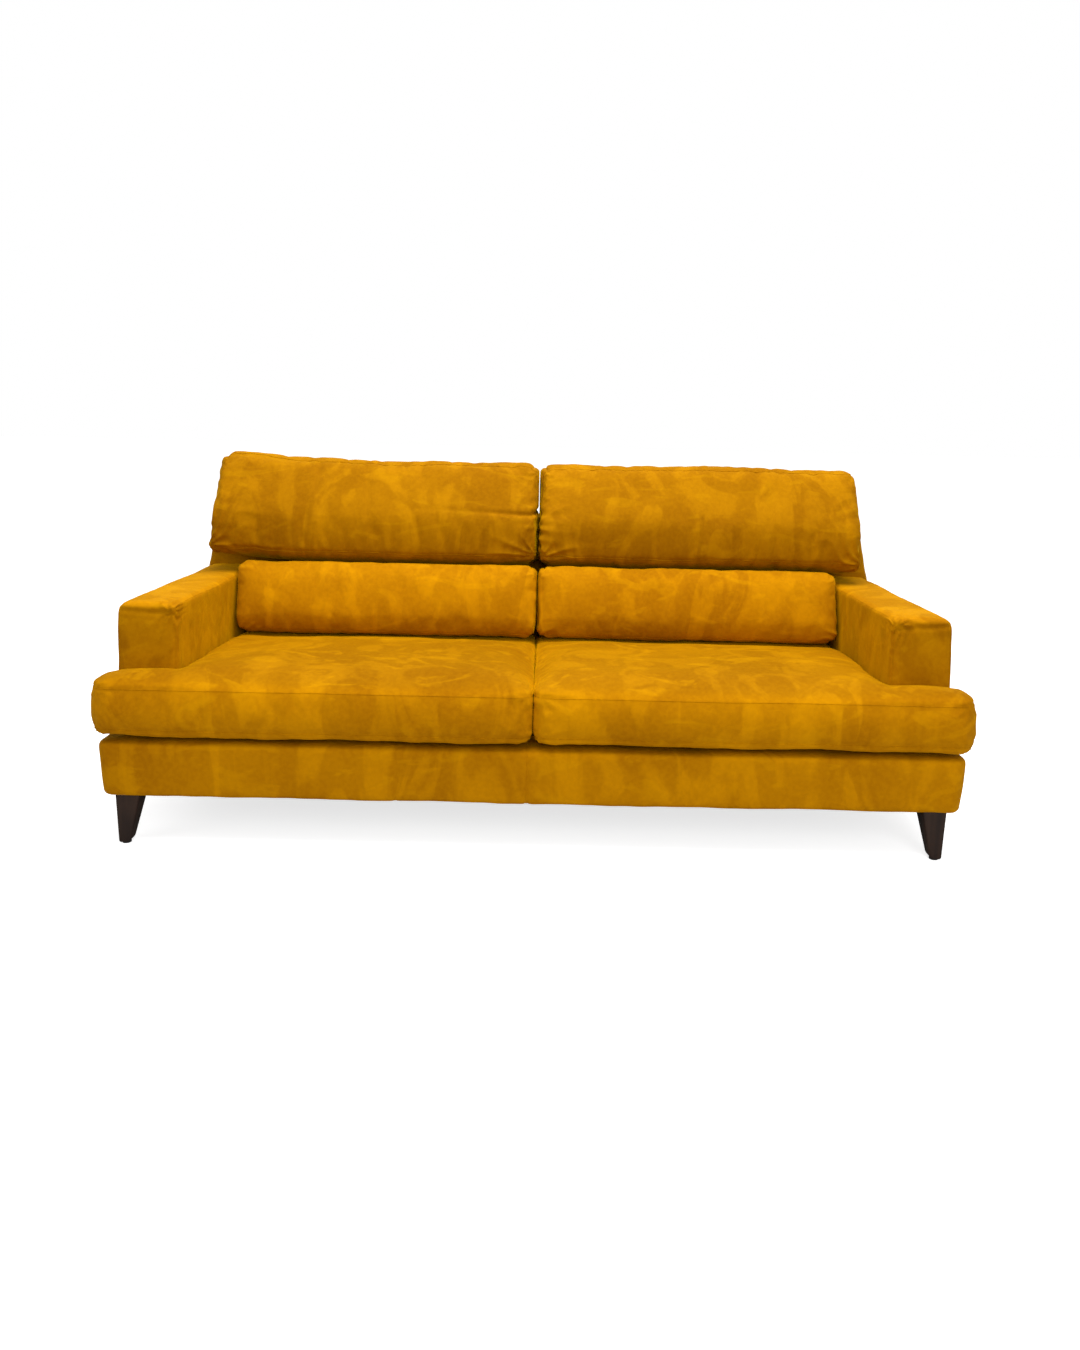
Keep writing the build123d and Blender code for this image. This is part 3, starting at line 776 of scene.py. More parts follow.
class SOFA_OT_seat_cushions(bpy.types.Operator):
    """Fill and sew the two seat cushions, each with an ear in front of its arm"""

    bl_idname = "sofa.seat_cushions"
    bl_label = "Seat cushions"

    def execute(self, context):
        for side, sign in SIDES.items():
            piece = start_cushion("seat", side)
            points = points_of(piece)
            height = deck_height(points)
            top, bottom = height.max(), height.min()
            low_seam, high_seam = bottom + 0.018, top - 0.026
            upright = np.abs(normals_of(piece) @ np.array(DECK_UP)) < 0.75
            near = np.minimum(np.abs(height - low_seam), np.abs(height - high_seam))
            held = np.where(upright & (near < sizes().cushion_mesh * 0.8), 1.0, 0.0)
            held = np.maximum(held, np.where(height < bottom + 0.004, 0.6, 0.06))
            rear = low("right_lumbar_cover").y
            held = np.where((points[:, 1] > rear) & (height > top - 0.004), 0.9, held)
            planes = [(DECK_POINT + DECK_UP * 0.0008, -DECK_UP), middle_plane(sign, 0.0008)]
            arm_low, arm_high = sorted((sign * (ARM_IN - GAP), sign * BEYOND))
            boxes = [((arm_low, ARM_FRONT - 0.0045, 0.0), (arm_high, BEYOND, BEYOND))]
            fill_cushion(piece, held, 0.012, planes, boxes)
            self.shape(piece, sign, planes, boxes, low_seam, high_seam, rear)
            for name, h, thick in (("bottom", low_seam, 0.9), ("top", high_seam, 0.55)):
                cuts = [(DECK_POINT + DECK_UP * h, DECK_UP)]
                seam_ridge(f"{side}_seat_{name}_seam", piece, f"{side}_seat_cushion", cuts, thick=thick)
            end_cushion(piece, "seat", side)
        return {"FINISHED"}

    def shape(self, piece, sign, planes, boxes, low_seam, high_seam, rear):
        """Crowns the top, rounds the walls, sinks the seams and gathers the front corners."""
        points, normals = points_of(piece), normals_of(piece)
        height = deck_height(points)
        seed = 11 if sign > 0 else 23
        across = np.abs(points[:, 0])
        rise, front_edge = 0.13, 0.495
        crown = np.clip(np.minimum(across, SEAT_WIDE - across) / rise, 0, 1)
        from_rear = np.clip((rear - points[:, 1]) / 0.10, 0, 1)
        crown *= np.clip((points[:, 1] + front_edge) / rise, 0, 1) * from_rear
        crown = np.sin(crown * math.pi / 2)
        upper = np.clip((height - high_seam) / 0.02, 0, 1)
        points += np.outer(crown * upper * 0.009, DECK_UP)
        self.bulge(points, normals, height, sign)
        for seam, share in ((low_seam, 0.9), (high_seam, 0.35)):
            pull_in_seam(points, normals, DECK_POINT + DECK_UP * seam, DECK_UP, seed + 1, share)
        side_creases(points, normals, 0, 0.050, 0.030, sizes().crease * 0.35, seed + 2)
        corners = ((0.012, 0.008, 0.085, 0.45, 3), (SEAT_WIDE - 0.02, 0.004, 0.060, 0.35, 4))
        for h, folds in ((high_seam, 9), (low_seam, 7)):
            for x, ahead, reach, share, turn in corners:
                corner = (sign * x, BASE_FRONT - ahead, DECK_POINT.z + h)
                gather(points, normals, corner, reach, folds, sizes().crease * share, seed + turn)
        ripple(points, normals, 0.34, seed + 5, 0.0022)
        ripple(points, normals, 0.11, seed + 6, 0.0008)
        press_flat(points, planes)
        under = points[:, 1] > rear - 0.02
        resting = points[under]
        press_flat(resting, [(seat_lid() - DECK_UP * 0.001, DECK_UP)])
        points[under] = resting
        for corner_low, corner_high in boxes:
            push_out(points, corner_low, corner_high)
        move_points(piece, points)

    def bulge(self, points, normals, height, sign):
        """Rounds the front and the ear's end out between their seams, and meets the next cushion."""
        half = SEAT_THICK * 0.50
        over = np.clip(1 - ((height - half) / half) ** 2, 0, 1)
        outward = np.clip(normals[:, 0] * sign, 0, 1) * (points[:, 1] < ARM_FRONT)
        inward = np.clip(-normals[:, 0] * sign, 0, 1) * (np.abs(points[:, 0]) < 0.06)
        forward = np.clip(-normals[:, 1], 0, 1) * (points[:, 1] < BASE_FRONT + 0.03)
        points[:, 0] += sign * (outward * 0.011 - inward * 0.009) * over
        points[:, 1] -= forward * over * 0.005


def front_seam(points, lean, set_back):
    """The seam that runs round a back cushion's front face: a point on it, and the way that it faces."""
    return lean * float((points @ np.array(lean)).max()) - lean * set_back, lean


def held_behind(points, normals, seam, at_seam, elsewhere, top=math.inf):
    """How firmly each point of a back cushion is held: most along its seam and where it leans."""
    point, normal = seam
    near = np.abs((points - np.array(point)) @ np.array(normal)) < sizes().cushion_mesh * 0.8
    beside = np.abs(normals @ np.array(normal)) < 0.8
    leaning = (normals @ np.array(BACK_NORMAL) < -0.8) & (points[:, 2] < top)
    return np.where(leaning, 0.8, np.where(near & beside, at_seam, elsewhere))


def gather_end(points, normals, x, low_corner, high_corner, seed):
    """Bunches both front corners of an end. Each is its y, z, reach, count of folds and depth."""
    for (y, z, reach, folds, share), turn in ((low_corner, 3), (high_corner, 5)):
        gather(points, normals, (x, y, z), reach, folds, sizes().crease * share, seed + turn)


class SOFA_OT_lumbar_cushions(bpy.types.Operator):
    """Fill and sew the two lumbar cushions that stand between the arms"""

    bl_idname = "sofa.lumbar_cushions"
    bl_label = "Lumbar cushions"

    def execute(self, context):
        for side, sign in SIDES.items():
            seed = 31 if sign > 0 else 47
            piece = start_cushion("lumbar", side)
            box_low, box_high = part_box(f"{side}_lumbar_cover")
            points, normals = points_of(piece), normals_of(piece)
            seam = front_seam(points, Vector((0, -1, 0.20)).normalized(), 0.030)
            shelf, tilt = shelf_plane()
            planes = [
                middle_plane(sign, GAP),
                (Vector((sign * (ARM_IN - 0.006), 0, 0)), Vector((sign, 0, 0))),
                (shelf - tilt * 0.0006, tilt),
                BACK_PLANE,
                (seat_lid() + DECK_UP * GAP, -DECK_UP),
            ]
            held = held_behind(points, normals, seam, 0.95, 0.05)
            fill_cushion(piece, held, 0.015, planes)
            points, normals = points_of(piece), normals_of(piece)
            pull_in_seam(points, normals, *seam, seed)
            ends = (sign * 0.004, sign * (ARM_IN - 0.004))
            low_corner = (box_low.y + 0.02, box_low.z + 0.012, 0.075, 8, 0.8)
            high_corner = (box_low.y + 0.06, box_high.z - 0.03, 0.045, 7, 0.5)
            for n, x in enumerate(ends):
                side_creases(points, normals, x, 0.030, 0.045, sizes().crease * 0.3, seed + n)
                gather_end(points, normals, x, low_corner, high_corner, seed + n)
            depth = sizes().crease * 0.35
            side_creases(points, normals, box_high.z - 0.04, 0.060, 0.085, depth, seed + 8, axis=2, along=0)
            ripple(points, normals, 0.26, seed + 9, 0.0018)
            ripple(points, normals, 0.09, seed + 10, 0.0008)
            for x, x_inward in ((ends[0], sign), (ends[1], -sign)):
                for z, z_inward in ((points[:, 2].min(), 1), (box_high.z, -1)):
                    round_corner(points, x, x_inward, z, z_inward, 0.032)
            press_flat(points, planes)
            move_points(piece, points)
            seam_ridge(f"{side}_lumbar_seams", piece, f"{side}_lumbar_cushion", [seam])
            end_cushion(piece, "lumbar", side)
        return {"FINISHED"}


def seat_lid():
    """A point on the seat cushions' top, where the lumbar cushions stand."""
    return DECK_POINT + DECK_UP * SEAT_THICK


def shelf_plane():
    """The reclined joint between the lumbar and the upper cushions."""
    tilt = Vector((0, RECLINE, 1)).normalized()
    return Vector((0, 0.095, high("right_lumbar_cover").z + 0.0005)), tilt


class SOFA_OT_upper_cushions(bpy.types.Operator):
    """Fill and sew the two wide back cushions, with their bunched lower corners"""

    bl_idname = "sofa.upper_cushions"
    bl_label = "Upper cushions"

    def execute(self, context):
        for side, sign in SIDES.items():
            seed = 61 if sign > 0 else 83
            piece = start_cushion("upper", side)
            box_low, box_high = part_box(f"{side}_upper_cover")
            points, normals = points_of(piece), normals_of(piece)
            lean = Vector((0, -0.90, 0.43)).normalized()
            seam = front_seam(points, lean, 0.045)
            shelf, tilt = shelf_plane()
            planes = [middle_plane(sign, GAP), (shelf + tilt * 0.0016, -tilt)]
            held = held_behind(points, normals, seam, 0.9, 0.04, BACK_TOP)
            fill_cushion(piece, held, 0.022, planes)
            points, normals = points_of(piece), normals_of(piece)
            pull_in_seam(points, normals, *seam, seed)
            inner, outer = sign * 0.004, sign * (UPPER_WIDE - 0.004)
            low_corner = (box_low.y + 0.012, box_low.z + 0.055, 0.130, 12, 1.2)
            high_corner = (box_low.y + 0.16, box_high.z - 0.03, 0.060, 8, 0.7)
            for n, (x, reach) in enumerate(((inner, 0.050), (outer, 0.075))):
                side_creases(points, normals, x, reach, 0.036, sizes().crease * 0.6, seed + n)
                gather_end(points, normals, x, low_corner, high_corner, seed + n)
            for x, x_inward in ((inner, sign), (outer, -sign)):
                for z, z_inward in ((box_low.z, 1), (box_high.z, -1)):
                    round_corner(points, x, x_inward, z, z_inward, 0.036)
            self.dog_ear(points, sign, outer, box_low)
            if sign < 0:
                self.flop_crease(points, normals)
            ripple(points, normals, 0.30, seed + 9, 0.0028)
            ripple(points, normals, 0.10, seed + 10, 0.0008)
            press_flat(points, planes)
            over_back = BACK_TOP + 0.0015
            push_out(points, (-BEYOND, 0.338, 0.60), (BEYOND, 0.60, over_back))
            self.draw_in(points, sign)
            self.crown_end(points, sign, lean)
            leaning = points[:, 2] < over_back
            pressed = points[leaning]
            press_flat(pressed, [BACK_PLANE])
            points[leaning] = pressed
            move_points(piece, points)
            seam_ridge(f"{side}_upper_seams", piece, f"{side}_upper_cushion", [seam])
            end_cushion(piece, "upper", side)
        return {"FINISHED"}

    def draw_in(self, points, sign):
        """Keeps the outer end upright. The right cushion sits further in, the left one higher outside."""
        set_in = {-1: 0.004, 1: 0.022}[sign]
        lift = {-1: 0.021, 1: 0.0}[sign]
        points[:, 2] += lift * np.clip((np.abs(points[:, 0]) - 0.55) / 0.48, 0, 1) ** 1.5
        near_end = np.clip((np.abs(points[:, 0]) - UPPER_WIDE + 0.30) / 0.30, 0, 1)
        drop = np.clip((0.93 - points[:, 2]) / 0.20, 0, 1)
        points[:, 0] -= sign * near_end * (0.002 + set_in * drop)
        beyond = np.maximum(np.abs(points[:, 0]) - UPPER_WIDE + set_in, 0)
        points[:, 0] -= sign * beyond * 0.6

    def crown_end(self, points, sign, lean):
        """Rounds the outer end between its front and its rear edge."""
        across = points @ np.array(lean)
        middle, half = (across.max() + across.min()) / 2, (across.max() - across.min()) / 2
        edge = np.clip(np.abs(across - middle) / half, 0, 1) ** 2
        near_end = np.clip((np.abs(points[:, 0]) - UPPER_WIDE + 0.05) / 0.05, 0, 1)
        points[:, 0] -= sign * near_end * edge * 0.010

    def dog_ear(self, points, sign, outer, box_low):
        """Draws the outer lower corner out into the soft point of a bunched boxed corner."""
        corner = np.array((outer, box_low.y + 0.03, box_low.z + 0.045))
        away = np.linalg.norm((points - corner) * np.array((1, 0.8, 1.2)), axis=1)
        pull = np.exp(-((away / 0.060) ** 2))
        points += np.outer(pull, (sign * 0.005, -0.006, -0.010))

    def flop_crease(self, points, normals):
        """The fold across the left cushion where it bends over the back's top edge."""
        line = 0.812 + 0.03 * np.abs(points[:, 0])
        fall = np.exp(-(((points[:, 2] - line) / 0.007) ** 2)) * np.exp(-np.abs(points[:, 0]) / 0.14)
        points -= normals * (fall * 0.010)[:, None]


# ---- tight upholstery ----
def tight_panel(name, rings, count, finish):
    """A closed skin over rings of equal count, meshed evenly."""
    piece = new_piece(name, rings, ring_faces(len(rings) // count, count), "velvet", "frame", finish=finish)
    fix_normals(piece)
    remesh(piece, sizes().panel_mesh, 1)
    subdivide(piece)
    return piece


def plane_across(x):
    """An upright plane from front to rear."""
    return Vector((x, 0, 0)), Vector((1, 0, 0))


class SOFA_OT_arms(bpy.types.Operator):
    """Upholster the two arms, with a seam round each panel and bunched front corners"""

    bl_idname = "sofa.arms"
    bl_label = "Arms"

    def execute(self, context):
        front_round, rear = 0.011, 0.36
        radii = [0.006, 0.006, 0.024, 0.012]
        stations = rim(front_round) + [(0, (rear - ARM_FRONT) * n / 4) for n in range(1, 5)]
        for side, sign in SIDES.items():
            rings = []
            for inset, depth in stations:
                spans = (ARM_IN + 0.0005 + inset, ARM_OUT - inset, ARM_FOOT - 0.002, ARM_TOP - inset)
                ring = rounded_rectangle(*spans, radii, (4, 8))
                rings += [(sign * x, ARM_FRONT + depth, z) for x, z in ring]
            piece = tight_panel(f"{side}_arm_upholstery", rings, len(ring), "velvet_arms")
            points, normals = points_of(piece), normals_of(piece)
            cuts = [plane_across(sign * x) for x in (ARM_IN + 0.006, ARM_OUT - 0.008)]
            self.shape(points, normals, sign, cuts, 101 if sign > 0 else 131)
            move_points(piece, points)
            seam_ridge(f"{side}_arm_seams", piece, "frame", cuts, self.shows, 0.7)
            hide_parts(f"{side}_arm_cover", f"{side}_arm_foam")
            shade_smooth(piece)
        return {"FINISHED"}

    def shows(self, ring):
        """Where an arm's seams are not hidden by the base or the back."""
        return (ring[:, 2] > ARM_FOOT + 0.004) & (ring[:, 1] < INSIDE_BACK)

    def shape(self, points, normals, sign, cuts, seed):
        """Pads the top and the front, sinks the seams and bunches the inner front corner."""
        middle = (ARM_IN + ARM_OUT) / 2
        over = 1 - ((np.abs(points[:, 0]) - middle) / ((ARM_OUT - ARM_IN) / 2)) ** 2
        topping = np.clip((normals[:, 2] - 0.5) * 2, 0, 1)
        points[:, 2] += topping * np.clip(over, 0, 1) * 0.0035
        facing = np.clip((-normals[:, 1] - 0.5) * 2, 0, 1)
        points[:, 1] -= facing * np.clip(over, 0, 1) * 0.004
        for point, normal in cuts:
            pull_in_seam(points, normals, point, normal, seed, 0.5)
        fold = (sign * ARM_OUT, 0, ARM_TOP - 0.017)
        pull_in_seam(points, normals, fold, (-0.07 * sign, 0, 1), seed + 5, facing * 1.2)
        corner = (sign * (ARM_IN + 0.012), ARM_FRONT + 0.004, ARM_TOP - 0.022)
        gather(points, normals, corner, 0.050, 9, sizes().crease * 0.9, seed + 1)
        ripple(points, normals, 0.20, seed + 3, 0.0011)
        outer_limit = ARM_OUT + 0.002
        points[:, 0] = np.clip(points[:, 0], -outer_limit, outer_limit)
        inner = np.abs(points[:, 0]) < ARM_IN + 0.0004
        points[inner, 0] = sign * (ARM_IN + 0.0004)


class SOFA_OT_back(bpy.types.Operator):
    """Upholster the reclined back, inside, outside and round its rounded shoulders"""

    bl_idname = "sofa.back"
    bl_label = "Back"

    def execute(self, context):
        edge = 0.026
        rows = rim(edge)
        stations = [("front", inset, depth) for inset, depth in rows]
        stations += [("middle", 0, n / 5) for n in range(1, 5)]
        stations += [("rear", inset, depth) for inset, depth in reversed(rows)]
        rings = []
        for kind, inset, depth in stations:
            ring = self.outline(inset)
            for x, z in ring:
                front, rear = inside_back(z), outside_back(z)
                y = {
                    "front": front + depth,
                    "middle": front + edge + (rear - front - 2 * edge) * depth,
                    "rear": rear - depth,
                }[kind]
                rings.append((x, y, z))
        piece = tight_panel("back_upholstery", rings, len(ring), "velvet_upper")
        points, normals = points_of(piece), normals_of(piece)
        outward = Vector((0, 1, -OUTSIDE_RISE)).normalized()
        rear_cut = (Vector((0, outside_back(ARM_TOP) - 0.012, ARM_TOP)), outward)
        front_cut = (Vector((0, INSIDE_BACK + 0.014, ARM_TOP)), BACK_NORMAL)
        centre_cut = plane_across(0)
        for n, (point, normal) in enumerate((rear_cut, front_cut)):
            beside = np.abs(normals @ np.array(normal)) < 0.8
            pull_in_seam(points, normals, point, normal, 151 + n, beside * 1.0)
        pull_in_seam(points, normals, *centre_cut, 155, np.clip(normals[:, 1] * 3, 0, 1))
        ripple(points, normals, 0.24, 157, 0.0014)
        points[:, 1] = np.minimum(points[:, 1], CAD_BOX[1].y + 0.001)
        move_points(piece, points)
        seam_ridge("back_edge_seams", piece, "frame", [rear_cut, front_cut], self.above_base)
        seam_ridge("back_centre_seam", piece, "frame", [centre_cut], self.outside)
        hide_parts("back_inner_cover", "back_outer_cover", "back_foam")
        shade_smooth(piece)
        return {"FINISHED"}

    def above_base(self, ring):
        return ring[:, 2] > BASE_HIGH

    def outside(self, ring):
        """Along the outside back only, short of its hem."""
        return (ring[:, 2] > ARM_FOOT + 0.006) & (ring[:, 1] > 0.42)

    def outline(self, inset):
        """The back from the front: straight to its shoulders, then leaning in to rounded corners."""
        wide, top, foot = BACK_WIDE + 0.006 - inset, BACK_TOP - inset, ARM_FOOT - 0.004
        shoulder, draw_in = 0.600, 0.026
        radii = [0.004, 0.004, 0.045 - inset, 0.045 - inset]
        ring = rounded_rectangle(-wide, wide, foot, top, radii, (60, 24))
        shaped = []
        for x, z in ring:
            rise = max(0.0, (z - shoulder) / (BACK_TOP - shoulder))
            shaped.append((x * (1 - draw_in / BACK_WIDE * rise), z))
        return shaped


class SOFA_OT_base(bpy.types.Operator):
    """Upholster the base's front, sides and rear, with its hem and sewn joints"""

    bl_idname = "sofa.base"
    bl_label = "Base"

    def execute(self, context):
        side_top = high("base_left_cover").z
        rings = []
        lean = math.tan(math.radians(4.0))
        middle_y = (BASE_FRONT + BASE_REAR) / 2
        half_deep = (BASE_REAR - BASE_FRONT) / 2
        stations = self.stations()
        for inset, z in stations:
            shrink = inset + max(0.0, side_top - z) * lean
            wide, deep = BASE_WIDE - shrink, half_deep - shrink
            radius = max(0.004, 0.032 - inset)
            ring = rounded_rectangle(-wide, wide, middle_y - deep, middle_y + deep, [radius] * 4, (420, 170))
            rings += [(x, y, z) for x, y in ring]
        faces = ring_faces(len(stations), len(ring), False, False)
        piece = new_piece("base_upholstery", rings, faces, "velvet", "frame")
        fix_normals(piece)
        points, normals = points_of(piece), normals_of(piece)
        behind = np.clip((points[:, 1] - (ARM_FRONT - 0.006)) / 0.006, 0, 1)
        drop = BASE_HIGH - side_top + 0.0015
        share = np.clip((points[:, 2] - (side_top - 0.03)) / (BASE_HIGH - side_top + 0.03), 0, 1)
        points[:, 2] -= behind * drop * share
        joint = plane_across(-0.012)
        pull_in_seam(points, normals, *joint, 171)
        fold_x = -0.345
        fold = np.exp(-(((points[:, 0] - fold_x) / 0.006) ** 2)) * (points[:, 1] < 0)
        points -= normals * (fold * 0.0016)[:, None]
        ripple(points, normals, 0.28, 173, 0.0015)
        ripple(points, normals, 0.07, 174, 0.0005)
        wall_middle = np.clip(1 - ((points[:, 2] - 0.2) / 0.075) ** 2, 0, 1)
        points += normals * (wall_middle * 0.002)[:, None]
        move_points(piece, points)
        seam_ridge("base_seams", piece, "frame", [joint], lambda ring: ring[:, 2] > BASE_LOW + 0.001)
        covers = [f"base_{where}_cover" for where in ("front", "left", "right", "rear")]
        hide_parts(*covers, "base_foam")
        return {"FINISHED"}

    def stations(self):
        """Inset and height of each ring: turned in under the foot, up the wall, over and down inside."""
        foot_round, top_round, cells = 0.012, 0.019, 14
        wall = BASE_HIGH - top_round - BASE_LOW - foot_round
        up = [(0.022, BASE_LOW + 0.022), (0.020, BASE_LOW + 0.003)]
        up += [(inset, BASE_LOW + depth) for inset, depth in rim(foot_round)]
        up += [(0.0, BASE_LOW + foot_round + wall * n / cells) for n in range(1, cells + 1)]
        up += [(depth, BASE_HIGH - inset) for inset, depth in rim(top_round)][1:]
        return up + [(0.045, BASE_HIGH), (0.087, BASE_HIGH), (0.087, BASE_HIGH + 0.009)]


class SOFA_OT_seat_deck(bpy.types.Operator):
    """Lay the platform cloth under the seat cushions, with its stitched rows"""

    bl_idname = "sofa.seat_deck"
    bl_label = "Seat deck"

    def execute(self, context):
        corner_low, corner_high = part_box("seat_platform")
        columns, rows = 184, 68
        slope = -DECK_UP.y / DECK_UP.z
        verts, faces = [], []
        thick = 0.0028
        for layer in (0.0, -thick):
            for r in range(rows + 1):
                for c in range(columns + 1):
                    x = corner_low.x + (corner_high.x - corner_low.x) * c / columns
                    y = corner_low.y + (corner_high.y - corner_low.y) * r / rows
                    z = DECK_POINT.z + (y - DECK_POINT.y) * slope - 0.0002 + layer
                    verts.append((x, y, z))
        across = columns + 1
        layer_size = across * (rows + 1)
        for r in range(rows):
            for c in range(columns):
                a = r * across + c
                faces.append((a, a + 1, a + 1 + across, a + across))
                b = a + layer_size
                faces.append((b, b + across, b + 1 + across, b + 1))
        border = list(range(columns))
        border += [columns + across * r for r in range(rows)]
        border += [rows * across + c for c in range(columns, 0, -1)]
        border += [across * r for r in range(rows, 0, -1)]
        for a, b in zip(border, border[1:] + border[:1]):
            faces.append((a, a + layer_size, b + layer_size, b))
        piece = new_piece("seat_deck_cloth", verts, faces, "platform_cloth", "frame")
        points = points_of(piece)
        top = np.arange(len(points)) < layer_size
        row_gap = 0.23
        from_row = (points[:, 0] + 10 * row_gap) % row_gap - row_gap / 2
        quilting = np.exp(-((from_row / 0.008) ** 2))
        points[:, 2] -= top * (quilting * 0.0012 + 0.0004 * (1 + soft_noise(points, 0.2, 191)))
        move_points(piece, points)
        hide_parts("seat_platform")
        return {"FINISHED"}


class SOFA_OT_legs(bpy.types.Operator):
    """Shape the four tapered legs, steep outside and raked inside, with rounded toes"""

    bl_idname = "sofa.legs"
    bl_label = "Legs"

    def execute(self, context):
        foot_wide, set_in, edge_round = 0.030, 0.006, 0.0055
        toe_in, toe_out = 0.013, 0.005
        for side, sign in SIDES.items():
            for end in ("front", "rear"):
                node = f"{end}_{side}_leg"
                corner_low, corner_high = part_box(node)
                along = 1 if end == "rear" else -1
                outer = [max(abs(corner_low[axis]), abs(corner_high[axis])) for axis in (0, 1)]
                wide = corner_high.x - corner_low.x
                tall = corner_high.z - corner_low.z
                levels = [0, 0.0008, 0.002, 0.004, 0.0065, 0.0095, 0.013, 0.018]
                levels += [0.018 + (tall - 0.0198) * n / 10 for n in range(1, 11)] + [tall - 0.0006, tall]
                rings = []
                for level in levels:
                    share = level / tall
                    lip = max(0.0, (level - (tall - 0.0019)) * 0.6)
                    ring_low, ring_high = [], []
                    for out in outer:
                        outside = out - set_in * (1 - share)
                        inside = out - set_in - foot_wide + (set_in + foot_wide - wide) * share
                        ring_high.append(outside - (self.toe(level, toe_out) + lip))
                        ring_low.append(inside + (self.toe(level, toe_in) + lip))
                    spans = (ring_low[0], ring_high[0], ring_low[1], ring_high[1])
                    ring = rounded_rectangle(*spans, [edge_round] * 4, (6, 6))
                    rings += [(sign * x, along * y, corner_low.z + level) for x, y in ring]
                faces = ring_faces(len(levels), len(ring))
                piece = new_piece(f"{node}_shaped", rings, faces, "leg_wood", "frame")
                fix_normals(piece)
                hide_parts(node)
        return {"FINISHED"}

    def toe(self, level, radius):
        """How far a rounded toe draws in at a height."""
        left = max(0.0, radius - level) / radius
        return radius * (1 - math.sqrt(1 - left**2))


class SOFA_OT_inner_frame(bpy.types.Operator):
    """Finish the timber, springs, foam and fastenings that stay as the frame has them"""

    bl_idname = "sofa.inner_frame"
    bl_label = "Inner frame"

    def execute(self, context):
        for node, piece in FRAME["nodes"].items():
            for slot in piece.material_slots:
                slot.material = material_of(SLOT_OF[node])
        return {"FINISHED"}


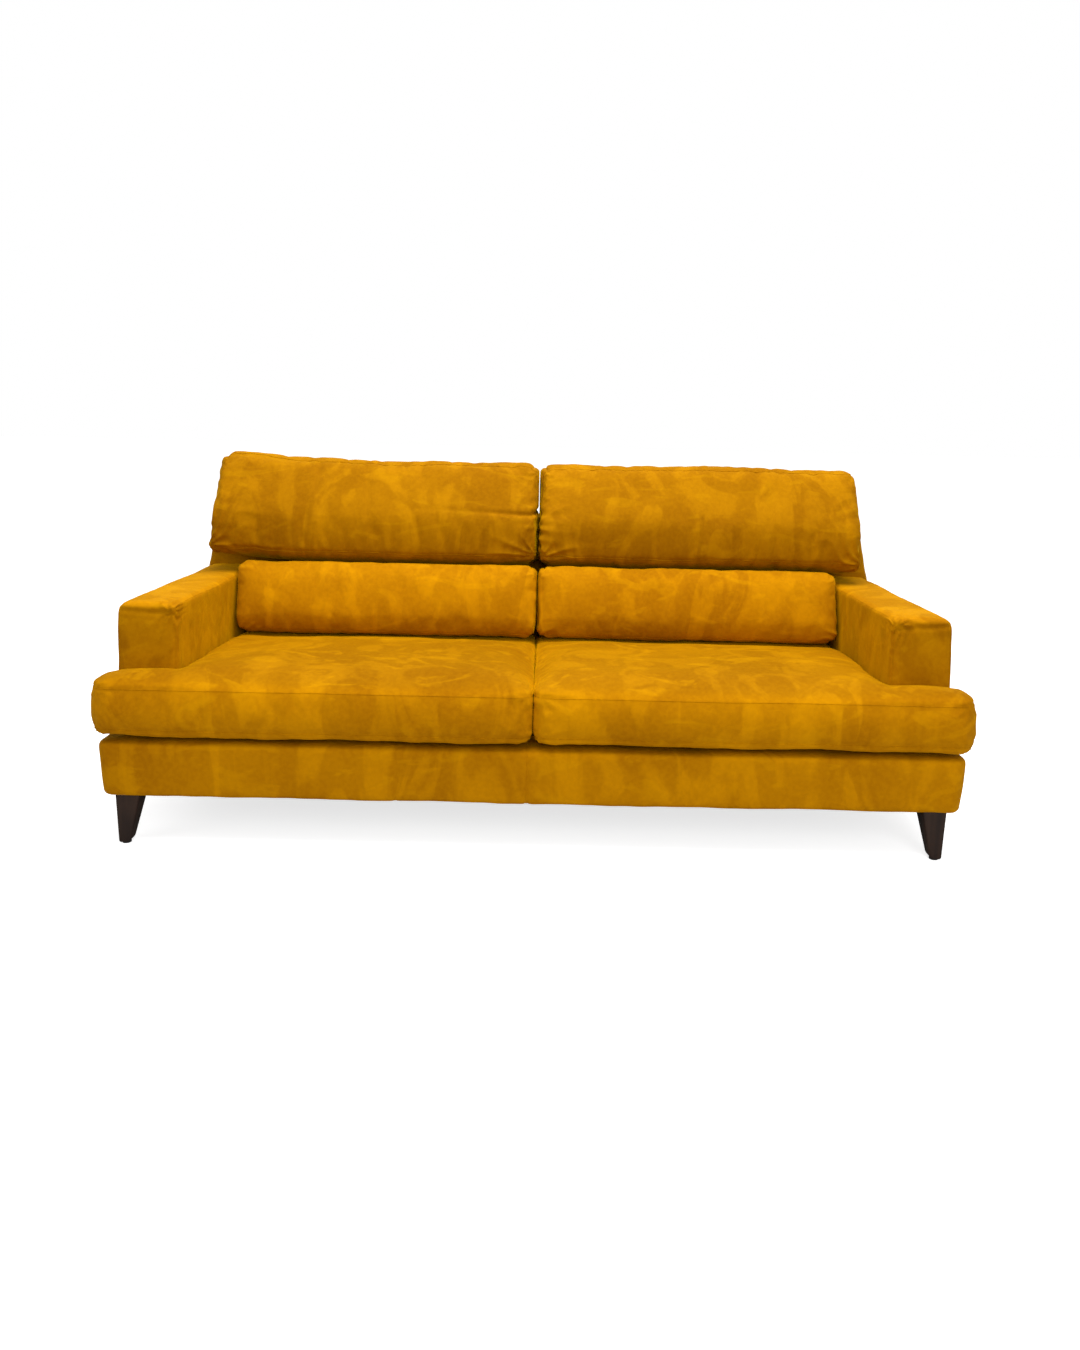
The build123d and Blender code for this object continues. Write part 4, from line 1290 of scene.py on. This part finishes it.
class SOFA_OT_stage(bpy.types.Operator):
    """Set out the pale floor, the soft lights and the camera"""

    bl_idname = "sofa.stage"
    bl_label = "Stage"

    def execute(self, context):
        reach = 40.0
        verts = [(-reach, -reach, 0), (reach, -reach, 0), (reach, reach, 0), (-reach, reach, 0)]
        floor = bpy.data.meshes.new("floor")
        floor.from_pydata(verts, [], [(0, 1, 2, 3)])
        floor_piece = bpy.data.objects.new("floor", floor)
        bpy.context.collection.objects.link(floor_piece)
        material, surface, place = start_material("pale floor")
        tone = place.noise(1.5, 2.0).between(0.3, 0.7).blend((0.86, 0.86, 0.86), (0.90, 0.90, 0.90))
        values = {
            "Roughness": 0.9,
            "Specular IOR Level": 0.1,
            "Emission Color": (1, 1, 1, 1),
            "Emission Strength": 0.70,
        }
        finish_surface(place, surface, {"Base Color": tone}, values)
        seen = place.node("ShaderNodeLightPath", {}, {})
        bounce = place.node("ShaderNodeBsdfDiffuse", {}, {"Color": (0.42, 0.40, 0.37, 1)})
        white = Socket(material.node_tree, surface.outputs[0])
        mixed = place.node("ShaderNodeMixShader", {}, {0: seen, 1: bounce, 2: white})
        output = material.node_tree.nodes["Material Output"]
        material.node_tree.links.new(mixed.output, output.inputs["Surface"])
        floor.materials.append(material)
        self.light("overhead", (0.2, -0.7, 3.8), (0.0, 0.0, 0.3), 3.0, 190.0)
        self.light("front", (1.3, -4.6, 2.4), (0.0, 0.0, 0.45), 2.6, 66.0)
        self.light("left", (-3.6, -2.2, 2.2), (0.0, 0.0, 0.4), 2.0, 14.0)
        self.surround(context)
        context.scene.view_settings.view_transform = "Standard"
        self.camera(context)
        return {"FINISHED"}

    def surround(self, context):
        """A white studio: a plain backdrop, and softer light from it on the sofa."""
        world = bpy.data.worlds.new("studio")
        context.scene.world = world
        world.use_nodes = True
        backdrop = world.node_tree.nodes["Background"]
        backdrop.inputs["Color"].default_value = (1.0, 1.0, 1.0, 1)
        tree = Socket(world.node_tree, None)
        seen = tree.node("ShaderNodeLightPath", {}, {})
        strength = seen * 0.46 + 0.54
        world.node_tree.links.new(strength.output, backdrop.inputs["Strength"])

    def light(self, name, place, target, size, power):
        lamp = bpy.data.lights.new(name, "AREA")
        lamp.shape = "DISK"
        lamp.size = size
        lamp.energy = power
        holder = bpy.data.objects.new(name, lamp)
        bpy.context.collection.objects.link(holder)
        holder.location = place
        holder.rotation_euler = (Vector(target) - Vector(place)).to_track_quat("-Z", "Y").to_euler()

    def camera(self, context):
        lens = bpy.data.cameras.new("camera")
        eye = bpy.data.objects.new("camera", lens)
        bpy.context.collection.objects.link(eye)
        lens.sensor_width = 36.0
        lens.lens = 25.9
        lens.shift_x, lens.shift_y = -0.0042, -0.136
        pitch, roll = math.radians(4.0), math.radians(1.21)
        eye.location = (0.0203, -2.861, 1.0946)
        turn = Matrix.Rotation(math.pi / 2 - pitch, 4, "X") @ Matrix.Rotation(roll, 4, "Z")
        eye.rotation_euler = turn.to_euler()
        context.scene.camera = eye


PIECES = (
    SOFA_OT_inner_frame,
    SOFA_OT_base,
    SOFA_OT_seat_deck,
    SOFA_OT_legs,
    SOFA_OT_arms,
    SOFA_OT_back,
    SOFA_OT_seat_cushions,
    SOFA_OT_lumbar_cushions,
    SOFA_OT_upper_cushions,
    SOFA_OT_stage,
)


class SOFA_PT_panel(bpy.types.Panel):
    """Lists the sofa's pieces with their sizes and colours"""

    bl_idname = "SOFA_PT_panel"
    bl_label = "Sofa"
    bl_space_type = "VIEW_3D"
    bl_region_type = "UI"
    bl_category = "Sofa"

    def draw(self, context):
        layout = self.layout
        for group in (context.scene.sofa_sizes, context.scene.sofa_colours):
            for name in group.bl_rna.properties.keys():
                if name not in ("rna_type", "name"):
                    layout.prop(group, name)
        for piece in PIECES:
            layout.operator(piece.bl_idname)


CLASSES = (SofaSizes, SofaColours, *PIECES, SOFA_PT_panel)


def register():
    for one in CLASSES:
        bpy.utils.register_class(one)
    bpy.types.Scene.sofa_sizes = bpy.props.PointerProperty(type=SofaSizes)
    bpy.types.Scene.sofa_colours = bpy.props.PointerProperty(type=SofaColours)


def unregister():
    del bpy.types.Scene.sofa_sizes
    del bpy.types.Scene.sofa_colours
    for one in reversed(CLASSES):
        bpy.utils.unregister_class(one)


def main():
    register()
    bpy.ops.sofa.inner_frame()
    bpy.ops.sofa.base()
    bpy.ops.sofa.seat_deck()
    bpy.ops.sofa.legs()
    bpy.ops.sofa.arms()
    bpy.ops.sofa.back()
    bpy.ops.sofa.seat_cushions()
    bpy.ops.sofa.lumbar_cushions()
    bpy.ops.sofa.upper_cushions()
    bpy.ops.sofa.stage()
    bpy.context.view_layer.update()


if __name__ == "__main__":
    main()
